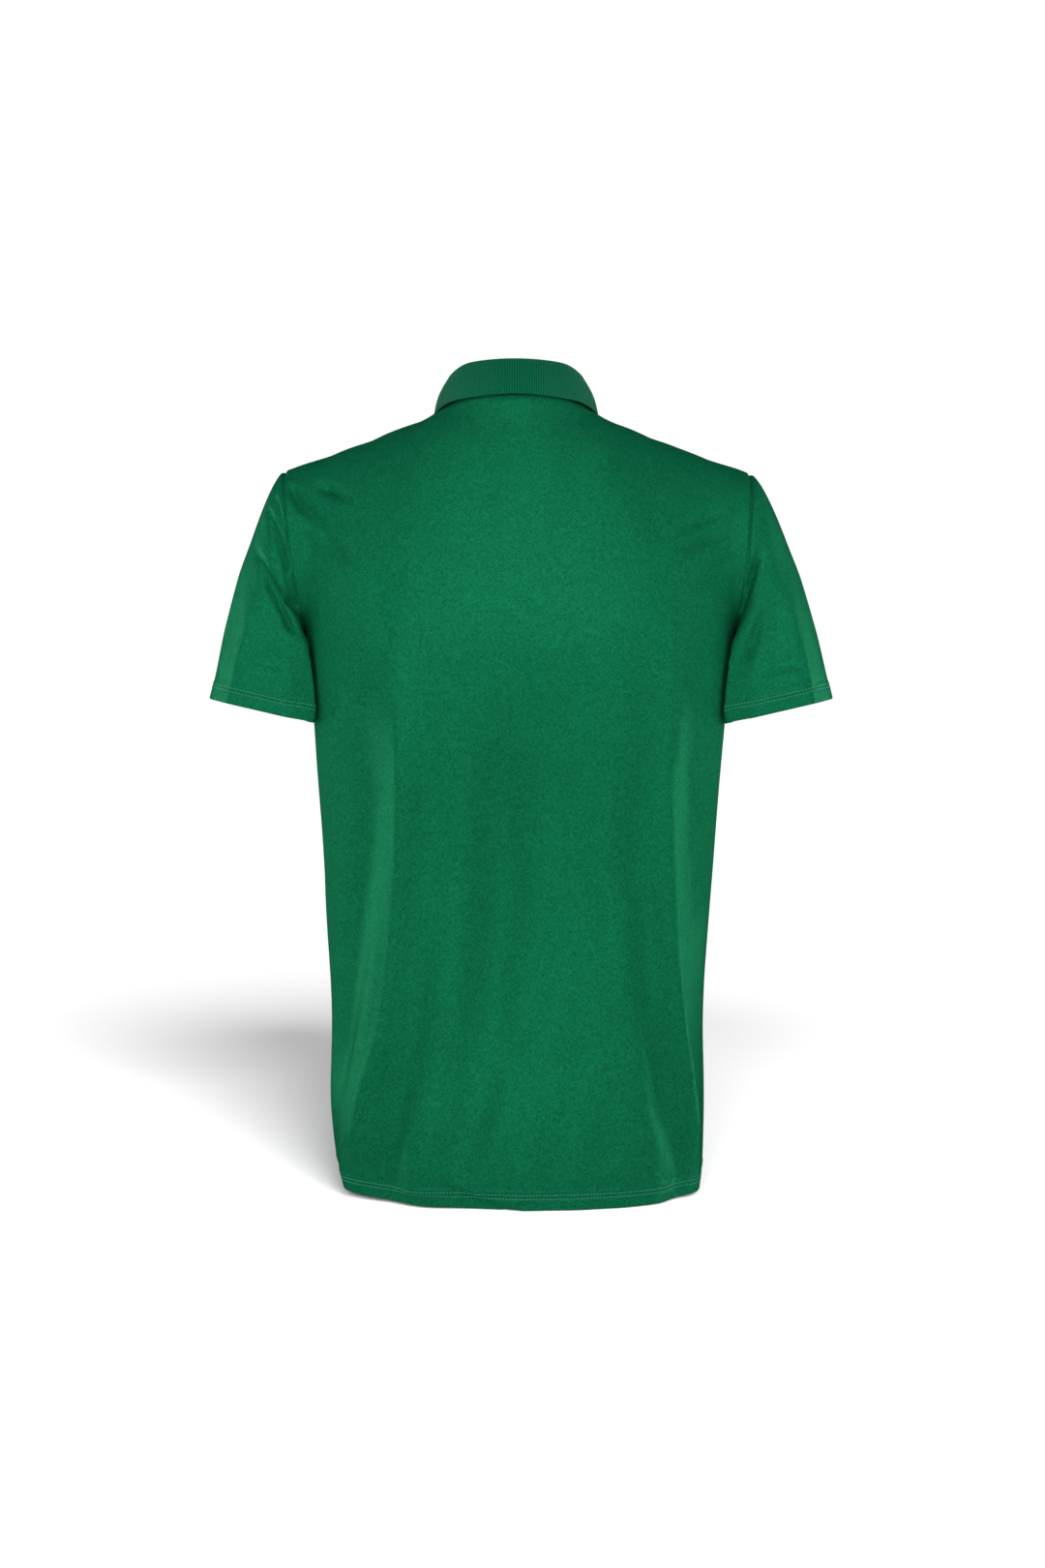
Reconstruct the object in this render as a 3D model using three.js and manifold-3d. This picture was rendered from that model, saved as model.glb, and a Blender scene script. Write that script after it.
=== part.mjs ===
// A short-sleeved polo shirt, filled out as it is when worn, with nobody inside it.
// Millimetres, +Z up. The wearer faces -Y, and the wearer's left is +X.
// The origin lies midway between the two high shoulder points, where the shoulders carry the shirt.
import * as THREE from 'three';
import { mergeVertices } from 'three/addons/utils/BufferGeometryUtils.js';
import Module from 'manifold-3d';

const wasm = await Module();
wasm.setup();

// ---------------------------------------------------------------- driving sizes

const CLOTH = 1.6; // wall of the knitted body cloth
const HEM_CLOTH = 2.6; // wall where the cloth is turned up inside and doubled
const HEM_DEPTH = 20; // height of the turned-up hems and cuffs
const COLLAR_CLOTH = 2; // wall of the ribbed collar band
const SEAM_GAP = 0.3; // left between two pieces at a seam
const SIDE_Y = -4; // the side and shoulder seams lie in this plane

const SHOULDER_TIP = { x: 209.5, z: -50.5 }; // where the shoulder seam ends at the sleeve
const SHOULDER_SAG = 2; // how far the shoulder seam sags between its ends
const UNDERARM = { x: 187, z: -205 }; // where the side seam ends at the sleeve
const ARMHOLE_REACH = { back: 60, front: 58 }; // how far the armhole bows out of the seam plane
const ARMHOLE_SCOOP = { back: 5.3, front: 11 }; // and how far its middle is cut in

const NECK_HALF_WIDTH = 70;
const NECK = {
  back: { y: 64, z: 15, ease: 2 },
  side: { z: 0.6 },
  front: { y: -90, z: -58, ease: 1.3 },
};
const NECK_SLOPE = { back: 62, front: 66 }; // degrees from upright that the cloth leans at each centre
const ARMHOLE_PULL_FROM = 0.45; // share of the half panel that isn't drawn over to the armhole

// The hem's height at the sides, its drop at each centre, and how soon it drops away from the sides.
const HEM = { z: -678, backDrop: 15.5, frontDrop: 5, ease: 0.45 };

const PLACKET_HALF_WIDTH = 16; // the placket's slit runs from the neckline down to the underarm's level
const TOP_STRIP_OVERLAP = 1.2; // how far the placket's top strip covers the edges of the slit
const BUTTON = { radius: 5.75, thickness: 2.2, rim: 1.2, dish: 0.5, holeRadius: 0.9, holeSpread: 1.5 };
const BUTTON_DROPS = [15, 65, 115]; // down the placket from the neckline

const NECK_COLUMNS = 6; // columns from each centre line to the high shoulder point
const SHOULDER_COLUMNS = 9; // and on to the shoulder tip
const HALF_COLUMNS = NECK_COLUMNS + SHOULDER_COLUMNS;
const LOWER_ROWS = 15; // rows from the hem band to the underarm
const UPPER_ROWS = 12; // rows from the underarm to the shoulder
const SLEEVE_ROWS = 9; // rows from the armhole web to the cuff band

const KNIT = new THREE.MeshStandardMaterial({ color: 0x0e6d48, roughness: 0.7, metalness: 0 });
const RIB = new THREE.MeshStandardMaterial({ color: 0x0c5f42, roughness: 0.8, metalness: 0 });
const BUTTON_PLASTIC = new THREE.MeshStandardMaterial({ color: 0x125f43, roughness: 0.35, metalness: 0 });

// ---------------------------------------------------------------- tables

// Level sections of the body. square is the exponent of the superellipse. The cloth above the underarm
// takes its direction from the last row, but not its form.
const TORSO_SECTIONS = [
  { z: -700, halfWidth: 166.5, backDepth: 134, frontDepth: 132, square: 2.25 },
  { z: -625, halfWidth: 168.5, backDepth: 128, frontDepth: 130, square: 2.3 },
  { z: -540, halfWidth: 167.5, backDepth: 117, frontDepth: 128, square: 2.4 },
  { z: -455, halfWidth: 172, backDepth: 108, frontDepth: 127, square: 2.5 },
  { z: -370, halfWidth: 177, backDepth: 108, frontDepth: 128, square: 2.7 },
  { z: -285, halfWidth: 184, backDepth: 115, frontDepth: 130, square: 3 },
  { z: -205, halfWidth: 187, backDepth: 121, frontDepth: 128, square: 3.1 },
  { z: -125, halfWidth: 187, backDepth: 117, frontDepth: 127, square: 3.1 },
];

// How far the shirt has swung to the wearer's left, and how much higher that side hangs.
const SWAY = [
  { z: -700, left: 2, raise: 2 },
  { z: -600, left: 3.5, raise: 1.5 },
  { z: -400, left: 1.5, raise: 0.5 },
  { z: -205, left: 0, raise: 0 },
  { z: -50, left: 2.5, raise: 1 },
  { z: 0, left: 3.5, raise: 1 },
  { z: 45, left: 3.5, raise: 1 },
];

// The largest folds of the body, from their tops down to the hem. round runs from 0 at the centre back
// through 1 at the wearer's left side seam to 2 at the centre front, and negative on the right. rise is
// negative for a trough.
const BODY_FOLDS = [
  { topZ: -215, topRound: 0.42, midRound: 0.47, hemRound: 0.7, width: 21, rise: 6 },
  { topZ: -235, topRound: -0.52, midRound: -0.6, hemRound: -0.73, width: 22, rise: 5 },
  { topZ: -300, topRound: 0.06, midRound: 0.06, hemRound: 0.16, width: 28, rise: -5 },
  { topZ: -480, topRound: 0.93, midRound: 0.91, hemRound: 0.88, width: 13, rise: -7 },
  { topZ: -250, topRound: 0.19, midRound: 0.23, hemRound: 0.36, width: 18, rise: 2.5 },
  { topZ: -230, topRound: -0.29, midRound: -0.35, hemRound: -0.5, width: 20, rise: 3 },
  { topZ: -500, topRound: 0.34, midRound: 0.4, hemRound: 0.49, width: 16, rise: -4 },
  { topZ: -330, topRound: -0.43, midRound: -0.48, hemRound: -0.62, width: 17, rise: -3 },
  { topZ: -230, topRound: 1.36, midRound: 1.33, hemRound: 1.28, width: 26, rise: 5 },
  { topZ: -250, topRound: -1.42, midRound: -1.36, hemRound: -1.26, width: 26, rise: 5 },
  { topZ: -330, topRound: 1.64, midRound: 1.6, hemRound: 1.56, width: 28, rise: -4.5 },
  { topZ: -350, topRound: -1.7, midRound: -1.66, hemRound: -1.6, width: 30, rise: -4.5 },
];
const FOLD_FADE = 110; // length over which a fold dies out at its top
const FOLD_BOTTOM = -690; // height at which a fold is at its hemRound
const QUARTER_GIRTH = 250; // of cloth from a centre line to a side seam
const FOLD_OVAL = { x: 187, y: 125 }; // the folds stand square to an oval of this shape

// Lines down a sleeve. turn is 0 on top, 90 at the back, 180 under the arm and 270 in front. Each starts
// with a short web out of the armhole, whose direction is webOut and webDown, then heads for the cuff.
const SLEEVE_LINES = [
  { turn: 0, webOut: 0.8, webDown: 0.6, startOut: 0.74, startDown: 0.67, pull: 110 },
  { turn: 90, webOut: 0.93, webDown: 0.36, startOut: 0.6, startDown: 0.8, pull: 70 },
  { turn: 180, webOut: 0.97, webDown: 0.24, startOut: 0, startDown: 1, pull: 30 },
  { turn: 270, webOut: 0.93, webDown: 0.36, startOut: 0.6, startDown: 0.8, pull: 70 },
];
const SLEEVE_WEB = 4; // length of that web
const CUFFS = [
  { wearer: 'left', side: 1, x: 235, y: -12, z: -265.3 },
  { wearer: 'right', side: -1, x: 237, y: -12, z: -265.3 },
];
const CUFF_SECTION = { halfWidth: 45, halfDepth: 59, square: 2.35 };
// Degrees that the sleeve hangs out from the vertical, that its front is turned in, and that the back of
// its cuff is raised.
const CUFF_TURNS = { tilt: 13, yaw: 5, pitch: -1.5 };
const SLEEVE_AXIS_PULL = 80; // how strongly the sleeve's end follows the cuff's axis

// Half of the collar. at is the angle round the neck from the centre back. The fold is the hollow side
// of the band's top, and the edge is the underside of its outer edge.
const COLLAR_SECTIONS = [
  { at: 0, foldX: 0, foldY: 55, foldZ: 39.8, edgeX: 0, edgeY: 72.2, edgeZ: 8.3 },
  { at: 40, foldX: 39, foldY: 39, foldZ: 39.3, edgeX: 50, edgeY: 52, edgeZ: 6 },
  { at: 65, foldX: 54, foldY: 17, foldZ: 35.5, edgeX: 67.5, edgeY: 24, edgeZ: 2.5 },
  { at: 90, foldX: 60, foldY: -7, foldZ: 29, edgeX: 73.5, edgeY: -8, edgeZ: -3 },
  { at: 120, foldX: 56, foldY: -45, foldZ: 9, edgeX: 82, edgeY: -60, edgeZ: -31 },
  { at: 150, foldX: 34, foldY: -77, foldZ: -22, edgeX: 65, edgeY: -93, edgeZ: -66 },
  { at: 168, foldX: 14, foldY: -89, foldZ: -37, edgeX: 48, edgeY: -101, edgeZ: -80 },
  { at: 180, foldX: 3, foldY: -91, foldZ: -43, edgeX: 38, edgeY: -104, edgeZ: -84 },
];
const COLLAR_FOLD_RADIUS = 1.2; // inside of the band's fold
const COLLAR_BULGE = 2.5; // how far the fall bows outwards
const COLLAR_END_GAP = 1.4; // from each front end of the band to the centre
const COLLAR_REST = 0.9; // from the fall to the cloth that it lies over

// ---------------------------------------------------------------- small helpers

const point = (x, y, z) => new THREE.Vector3(x, y, z);
const radians = THREE.MathUtils.degToRad;
const blend = THREE.MathUtils.lerp;
const power = (value, exponent) => Math.sign(value) * Math.abs(value) ** exponent;
const smooth = (value) => THREE.MathUtils.smoothstep(value, 0, 1);
const steps = (count, make) => Array.from({ length: count + 1 }, (_, i) => make(i / count, i));

// One column of a table at any place between its rows, by a smooth curve through them.
function look(table, key, place, column) {
  const last = table.length - 1;
  let i = 0;
  while (i < last - 1 && place > table[i + 1][key]) i += 1;
  const slope = (j) => {
    const low = table[Math.max(j - 1, 0)];
    const high = table[Math.min(j + 1, last)];
    return (high[column] - low[column]) / (high[key] - low[key]);
  };
  const span = table[i + 1][key] - table[i][key];
  const t = THREE.MathUtils.clamp((place - table[i][key]) / span, 0, 1);
  return hermite(table[i][column], slope(i) * span, table[i + 1][column], slope(i + 1) * span, t);
}

// A cubic from a to b with the given slopes at its ends.
function hermite(a, slopeA, b, slopeB, t) {
  const t2 = t * t;
  const t3 = t2 * t;
  const rise = 3 * t2 - 2 * t3;
  return a * (1 - rise) + b * rise + slopeA * (t3 - 2 * t2 + t) + slopeB * (t3 - t2);
}

// The points at the given distances along a chain of points.
function pointsAlong(chain, distances) {
  const reached = [0];
  chain.slice(1).forEach((p, i) => reached.push(reached[i] + p.distanceTo(chain[i])));
  return distances(reached.at(-1)).map((distance) => {
    let i = 1;
    while (i < chain.length - 1 && reached[i] < distance) i += 1;
    const t = (distance - reached[i - 1]) / (reached[i] - reached[i - 1]);
    return chain[i - 1].clone().lerp(chain[i], THREE.MathUtils.clamp(t, 0, 1));
  });
}

// Distances from a centre line: the placket's edge first, then even steps to the end.
const columnDistances = (count) => (length) => [
  0,
  ...steps(count - 1, (t) => blend(PLACKET_HALF_WIDTH, length, t)),
];

// ---------------------------------------------------------------- the body's form

// A point of the level section at height z. turn is 0 at the centre back and 180 at the centre front.
function torsoPoint(z, turn) {
  const size = (column) => look(TORSO_SECTIONS, 'z', z, column);
  const exponent = 2 / size('square');
  const across = Math.sin(radians(turn));
  const along = Math.cos(radians(turn));
  const depth = along > 0 ? size('backDepth') : size('frontDepth');
  return point(size('halfWidth') * power(across, exponent), SIDE_Y + depth * power(along, exponent), z);
}

// The left half of a level section, from the centre of a panel to the side seam.
function halfSection(side, z) {
  const centre = side === 'back' ? 0 : 180;
  const chain = steps(48, (t) => torsoPoint(z, blend(centre, 90, t)));
  return pointsAlong(chain, columnDistances(HALF_COLUMNS));
}

// The left half of a neckline, from the centre of a panel to the high shoulder point.
function neckPoint(turn) {
  const end = turn < 90 ? NECK.back : NECK.front;
  const along = Math.abs(Math.cos(radians(turn)));
  return point(
    NECK_HALF_WIDTH * Math.sin(radians(turn)),
    SIDE_Y + (end.y - SIDE_Y) * along,
    NECK.side.z + (end.z - NECK.side.z) * along ** end.ease,
  );
}

// The left half of a panel's top edge: the neckline, then the shoulder seam out to the sleeve.
function topEdge(side) {
  const centre = side === 'back' ? 0 : 180;
  const chain = steps(32, (t) => neckPoint(blend(centre, 90, t)));
  const neck = pointsAlong(chain, columnDistances(NECK_COLUMNS));
  const highPoint = neck.at(-1);
  const shoulder = steps(SHOULDER_COLUMNS, (t) => {
    const sag = SHOULDER_SAG * Math.sin(Math.PI * t);
    return point(blend(highPoint.x, SHOULDER_TIP.x, t), SIDE_Y, blend(highPoint.z, SHOULDER_TIP.z, t) - sag);
  });
  return [...neck, ...shoulder.slice(1)];
}

// The same edge with its corner at the high shoulder point rounded off, as the cloth below it runs.
function softened(edge) {
  const reach = 3;
  const at = (i) => (i < 0 ? edge[-i].clone().multiply(point(-1, 1, 1)) : edge[Math.min(i, HALF_COLUMNS)]);
  return edge.map((_, i) => {
    const sum = steps(2 * reach, (_t, k) => at(i + k - reach)).reduce((a, b) => a.clone().add(b));
    return sum.divideScalar(2 * reach + 1);
  });
}

// A point of the armhole. turn is 0 at the shoulder tip and 180 at the underarm.
function armholePoint(side, turn) {
  const along = Math.cos(radians(turn));
  const bow = Math.sin(radians(turn));
  const sign = side === 'back' ? 1 : -1;
  const reach = ARMHOLE_REACH[side];
  return point(
    blend(UNDERARM.x, SHOULDER_TIP.x, (1 + along) / 2) - ARMHOLE_SCOOP[side] * bow,
    SIDE_Y + sign * reach * bow,
    blend(UNDERARM.z, SHOULDER_TIP.z, (1 + along) / 2),
  );
}

// The left half of the upper panel. It rises from the underarm section in quarter curves that meet the
// shoulder seam level and the neckline at a slope, and its side is drawn over to the armhole.
function upperHalf(side) {
  const low = halfSection(side, UNDERARM.z);
  const edge = topEdge(side);
  const soft = softened(edge);
  return steps(UPPER_ROWS, (rise) => {
    const top = edge.map((p, i) => p.clone().lerp(soft[i], smooth(4 * (1 - rise))));
    const armhole = armholePoint(side, 180 * (1 - rise));
    const rowPoint = (column) => {
      const outward = smooth(column / NECK_COLUMNS);
      const full = radians(blend(NECK_SLOPE[side], 90, outward));
      const turned = rise * full;
      const forward = (Math.cos(turned) - Math.cos(full)) / (1 - Math.cos(full));
      const upward = Math.sin(turned) / Math.sin(full);
      return point(
        blend(low[column].x, top[column].x, rise),
        blend(top[column].y, low[column].y, forward),
        blend(low[column].z, top[column].z, upward),
      );
    };
    const pull = armhole.clone().sub(rowPoint(HALF_COLUMNS));
    return low.map((_, column) => {
      const share = Math.max(0, (column / HALF_COLUMNS - ARMHOLE_PULL_FROM) / (1 - ARMHOLE_PULL_FROM));
      return rowPoint(column).addScaledVector(pull, share ** 2);
    });
  });
}

// The left half of the lower panel, from the hem edge and the band's top up to the underarm.
function lowerHalf(side) {
  const drop = side === 'back' ? HEM.backDrop : HEM.frontDrop;
  const rise = UNDERARM.z - HEM.z;
  const band = [0, HEM_DEPTH, HEM_DEPTH + 2];
  const heights = [...band, ...steps(LOWER_ROWS, (t) => blend(band.at(-1), rise, t)).slice(1)];
  return heights.map((height) => {
    const share = height / rise;
    return steps(HALF_COLUMNS, (t, column) => {
      const hemDrop = drop * Math.cos((Math.PI / 2) * t) ** HEM.ease * (1 - share);
      const z = HEM.z + height - hemDrop;
      return halfSection(side, z)[column];
    });
  });
}

// Where a point of the evenly filled shirt lies once the folds have lifted or sunk it.
function folded(p, round) {
  const height = BODY_FOLDS.reduce((sum, fold) => {
    const t = THREE.MathUtils.clamp((fold.topZ - p.z) / (fold.topZ - FOLD_BOTTOM), 0, 1);
    const bend = fold.topRound - 2 * fold.midRound + fold.hemRound;
    const centre = blend(fold.topRound, fold.hemRound, t) - 2 * bend * t * (1 - t);
    const away = ((round - centre) * QUARTER_GIRTH) / fold.width;
    const fade = smooth((fold.topZ + FOLD_FADE / 2 - p.z) / FOLD_FADE);
    return sum + fold.rise * fade * Math.exp(-away * away);
  }, 0);
  const out = point(p.x / FOLD_OVAL.x ** 2, (p.y - SIDE_Y) / FOLD_OVAL.y ** 2, 0).normalize();
  return p.clone().addScaledVector(out, height);
}

// A whole panel as rows of points, from the hem up, seen from outside from its left edge to its right.
function panelGrid(side) {
  const half = [...lowerHalf(side), ...upperHalf(side).slice(1)];
  const roundAt = (column) => (side === 'back' ? column : 2 * HALF_COLUMNS - column) / HALF_COLUMNS;
  return half.map((row) => {
    const left = row.map((p, column) => folded(p, roundAt(column)));
    const right = row.map((p, column) => folded(point(-p.x, p.y, p.z), -roundAt(column)));
    const fromLeft = [...left.toReversed(), ...right.slice(1)];
    return side === 'back' ? fromLeft : fromLeft.toReversed();
  });
}

// Where a point of the evenly hung shirt lies in the worn one.
function swayed(p) {
  const left = look(SWAY, 'z', p.z, 'left');
  const raise = look(SWAY, 'z', p.z, 'raise') * (p.x / UNDERARM.x);
  return point(p.x + left, p.y, p.z + raise);
}

// ---------------------------------------------------------------- sleeves

// The closed armhole of a side, from the shoulder tip down the back and up the front.
function armholeRing(backGrid, frontGrid, wearer) {
  const first = backGrid.length - 1 - UPPER_ROWS;
  const backEdge = wearer === 'left' ? 0 : 2 * HALF_COLUMNS;
  const frontEdge = 2 * HALF_COLUMNS - backEdge;
  const down = backGrid.slice(first).map((row) => row[backEdge]).toReversed();
  const up = frontGrid.slice(first).map((row) => row[frontEdge]);
  return [...down, ...up.slice(1, -1)];
}

function cuffPoint(cuff, turn) {
  const { halfWidth, halfDepth, square } = CUFF_SECTION;
  const across = halfWidth * power(Math.cos(radians(turn)), 2 / square);
  const along = halfDepth * power(Math.sin(radians(turn)), 2 / square);
  const offset = point(across, along, 0)
    .applyAxisAngle(point(0, 0, 1), radians(-CUFF_TURNS.yaw))
    .applyAxisAngle(point(1, 0, 0), radians(CUFF_TURNS.pitch))
    .applyAxisAngle(point(0, 1, 0), radians(-CUFF_TURNS.tilt));
  return point(cuff.side * (cuff.x + offset.x), cuff.y + offset.y, cuff.z + offset.z);
}

// A sleeve as rings of points, from the armhole to the cuff's edge.
function sleeveGrid(ring, cuff) {
  const lines = [...SLEEVE_LINES, { ...SLEEVE_LINES[0], turn: 360 }];
  const tilt = radians(CUFF_TURNS.tilt);
  const axis = point(cuff.side * Math.sin(tilt), 0, -Math.cos(tilt));
  const paths = ring.map((start, i) => {
    const turn = (360 * i) / ring.length;
    const size = (column) => look(lines, 'turn', turn, column);
    const heading = (out, down) => point(cuff.side * size(out), 0, -size(down)).normalize();
    const web = start.clone().addScaledVector(heading('webOut', 'webDown'), SLEEVE_WEB);
    const leave = heading('startOut', 'startDown').multiplyScalar(size('pull'));
    const arrive = axis.clone().multiplyScalar(SLEEVE_AXIS_PULL);
    const end = cuffPoint(cuff, turn);
    const chain = steps(24, (t) => {
      const along = (name) => hermite(web[name], leave[name], end[name], arrive[name], t);
      return point(along('x'), along('y'), along('z'));
    });
    const places = (length) => [
      ...steps(SLEEVE_ROWS, (t) => blend(0, length - HEM_DEPTH - 2, t)),
      length - HEM_DEPTH,
      length,
    ];
    return [start, ...pointsAlong(chain, places)];
  });
  const outward = cuff.side > 0 ? paths.toReversed() : paths;
  return paths[0].map((_, row) => outward.map((path) => path[row]));
}

// ---------------------------------------------------------------- collar

// The whole neckline, from the centre front round the wearer's left, the back and the wearer's right.
function neckRing(backGrid, frontGrid) {
  const backTop = backGrid.at(-1);
  const frontTop = frontGrid.at(-1);
  const corners = [
    ...frontTop.slice(HALF_COLUMNS, HALF_COLUMNS + NECK_COLUMNS),
    ...backTop.slice(HALF_COLUMNS - NECK_COLUMNS, HALF_COLUMNS + NECK_COLUMNS + 1),
    ...frontTop.slice(HALF_COLUMNS - NECK_COLUMNS + 1, HALF_COLUMNS + 1),
  ];
  return corners.flatMap((p, i) => (i ? [corners[i - 1].clone().lerp(p, 0.5), p] : [p]));
}

// One section of the collar band: up the stand, over the fold and down the fall to the edge.
function collarSection(base, side) {
  const depth = (base.y > SIDE_Y ? NECK.back.y : NECK.front.y) - SIDE_Y;
  const along = ((base.y - SIDE_Y) / depth) * (base.y > SIDE_Y ? 1 : -1);
  const turn = THREE.MathUtils.radToDeg(Math.atan2(Math.abs(base.x) / NECK_HALF_WIDTH, along));
  const size = (column) => look(COLLAR_SECTIONS, 'at', turn, column);
  const fold = point(side * size('foldX'), size('foldY'), size('foldZ'));
  const edge = point(side * size('edgeX'), size('edgeY'), size('edgeZ'));
  const out = point(edge.x - fold.x, edge.y - fold.y, 0).normalize();
  const arc = steps(4, (t) => {
    const angle = Math.PI * (1 - t);
    const sink = COLLAR_FOLD_RADIUS * (Math.sin(angle) - 1);
    return fold.clone().addScaledVector(out, COLLAR_FOLD_RADIUS * Math.cos(angle)).setZ(fold.z + sink);
  });
  const stand = steps(3, (t) => base.clone().lerp(arc[0], t)).slice(0, -1);
  const fall = steps(4, (t) => {
    const bulge = COLLAR_BULGE * Math.sin(Math.PI * t);
    return arc.at(-1).clone().lerp(edge, t).addScaledVector(out, bulge);
  }).slice(1);
  return { held: [...stand, ...arc], fall };
}

// Lifts a point that lies nearer than the clearance to the outside of the cloths.
function liftedOff(p, cloths, clearance) {
  let nearest = { distance: Infinity };
  cloths.forEach(({ grid, normals }) => grid.forEach((row, r) => row.forEach((at, c) => {
    const distance = at.distanceToSquared(p);
    if (distance < nearest.distance) nearest = { distance, at, normal: normals[r][c] };
  })));
  const height = p.clone().sub(nearest.at).dot(nearest.normal);
  return p.clone().addScaledVector(nearest.normal, Math.max(0, clearance - height));
}

// The collar band, whose grid is its hollow side: the outside of the stand and the inside of the fall.
function collarGrid(ring, cloths) {
  const strip = CLOTH + SEAM_GAP;
  const clearance = (p) => COLLAR_REST + strip * (1 - smooth((Math.abs(p.x) - PLACKET_HALF_WIDTH - 3) / 8));
  const stations = ring.map((base, i) => {
    const { held, fall } = collarSection(base, i < ring.length / 2 ? 1 : -1);
    const resting = fall.map((p) => liftedOff(p, cloths, clearance(p)));
    return [...held, ...resting];
  });
  return stations[0].map((_, row) => stations.map((station) => station[row]));
}

// ---------------------------------------------------------------- walls of cloth

// Outward normals of a grid of points.
function gridNormals(grid, closed = false) {
  const normals = grid.map((row) => row.map(() => point(0, 0, 0)));
  const columns = grid[0].length;
  const cells = closed ? columns : columns - 1;
  for (let r = 0; r + 1 < grid.length; r += 1) {
    for (let c = 0; c < cells; c += 1) {
      const d = (c + 1) % columns;
      const falling = grid[r][d].clone().sub(grid[r + 1][c]);
      const rising = grid[r + 1][d].clone().sub(grid[r][c]);
      const normal = falling.cross(rising).normalize();
      [normals[r][c], normals[r][d], normals[r + 1][c], normals[r + 1][d]].forEach((n) => n.add(normal));
    }
  }
  return normals;
}

// Gives cloths that share points at a seam the same normals there, so that their walls meet squarely.
function shareNormals(cloths) {
  const sums = new Map();
  const place = (p) => p.toArray().map((value) => Math.round(value * 100)).join();
  const each = (work) => cloths.forEach(({ grid, normals }) => {
    grid.forEach((row, r) => row.forEach((p, c) => work(place(p), normals[r], c)));
  });
  each((key, normals, c) => {
    sums.set(key, (sums.get(key) ?? point(0, 0, 0)).add(normals[c].clone().normalize()));
  });
  each((key, normals, c) => {
    normals[c] = sums.get(key).clone().normalize();
  });
}

// Draws the open edges of a cloth back, which leaves the seam gap between it and its neighbours.
function drawBack({ grid, closed = false }, seam = SEAM_GAP / 2, ends = seam) {
  const own = gridNormals(grid, closed);
  const lastRow = grid.length - 1;
  const lastColumn = grid[0].length - 1;
  return grid.map((row, r) => row.map((p, c) => {
    const left = closed ? row.at(c - 1) : row[Math.max(c - 1, 0)];
    const right = closed ? row[(c + 1) % (lastColumn + 1)] : row[Math.min(c + 1, lastColumn)];
    const across = right.clone().sub(left);
    const up = grid[Math.min(r + 1, lastRow)][c].clone().sub(grid[Math.max(r - 1, 0)][c]);
    const moved = p.clone();
    const moveAlong = (a, b, amount) => moved.add(a.clone().cross(b).setLength(amount));
    if (r === 0) moveAlong(own[r][c], across, seam);
    if (r === lastRow) moveAlong(across, own[r][c], seam);
    if (!closed && c === 0) moveAlong(up, own[r][c], ends);
    if (!closed && c === lastColumn) moveAlong(own[r][c], up, ends);
    return moved;
  }));
}

// A closed wall: the grid, the same grid moved in by the thickness, and rims along every open edge.
function clothWall({ grid, normals, closed = false }, thickness = () => CLOTH, isSlit = () => false) {
  const columns = grid[0].length;
  const cells = closed ? columns : columns - 1;
  const moveIn = (p, r, c) => p.clone().addScaledVector(normals[r][c], -thickness(r));
  const inside = grid.map((row, r) => row.map((p, c) => moveIn(p, r, c)));
  const corners = [...grid.flat(), ...inside.flat()];
  const outer = (r, c) => r * columns + (c % columns);
  const inner = (r, c) => grid.length * columns + outer(r, c);
  const isOpen = (r, c) => {
    const offRows = r < 0 || r >= grid.length - 1;
    const offColumns = !closed && (c < 0 || c >= cells);
    return offRows || offColumns || isSlit(r, c);
  };
  const faces = [];
  const quad = (a, b, c, d) => faces.push(a, b, c, a, c, d);
  const apart = (a, b) => corners[a].distanceTo(corners[b]);
  // Each cell is split along its shorter diagonal, on both sides of the cloth.
  const cell = (r, c) => {
    const around = [[r, c], [r, c + 1], [r + 1, c + 1], [r + 1, c]];
    const [a, b, d, e] = around.map((at) => outer(...at));
    const turned = apart(b, e) < apart(a, d) ? [...around.slice(1), around[0]] : around;
    quad(...turned.map((at) => outer(...at)));
    const [first, ...rest] = turned.map((at) => inner(...at));
    quad(first, ...rest.toReversed());
  };
  // A twisted rim is split along its hollow diagonal, so that it never bulges into its neighbour.
  const rim = (a, b, c, d) => {
    const [toB, toC, toD] = [b, c, d].map((i) => corners[i].clone().sub(corners[a]));
    if (toB.cross(toC).dot(toD) > 0) quad(a, b, c, d);
    else quad(b, c, d, a);
  };
  for (let r = 0; r + 1 < grid.length; r += 1) {
    for (let c = 0; c < cells; c += 1) {
      if (isSlit(r, c)) continue;
      cell(r, c);
      if (isOpen(r - 1, c)) rim(outer(r, c + 1), outer(r, c), inner(r, c), inner(r, c + 1));
      if (isOpen(r + 1, c)) rim(outer(r + 1, c), outer(r + 1, c + 1), inner(r + 1, c + 1), inner(r + 1, c));
      if (isOpen(r, c - 1)) rim(outer(r, c), outer(r + 1, c), inner(r + 1, c), inner(r, c));
      if (isOpen(r, c + 1)) rim(outer(r + 1, c + 1), outer(r, c + 1), inner(r, c + 1), inner(r + 1, c + 1));
    }
  }
  const numbers = corners.flatMap((p) => p.toArray());
  const geometry = new THREE.BufferGeometry();
  geometry.setAttribute('position', new THREE.Float32BufferAttribute(numbers, 3));
  geometry.setIndex(faces);
  return geometry.toNonIndexed();
}

// ---------------------------------------------------------------- placket and buttons

// A place between the rows and columns of a grid.
function between(grid, row, column) {
  const r = Math.min(Math.floor(row), grid.length - 2);
  const c = Math.min(Math.floor(column), grid[0].length - 2);
  const low = grid[r][c].clone().lerp(grid[r][c + 1], column - c);
  const high = grid[r + 1][c].clone().lerp(grid[r + 1][c + 1], column - c);
  return low.lerp(high, row - r);
}

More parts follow.
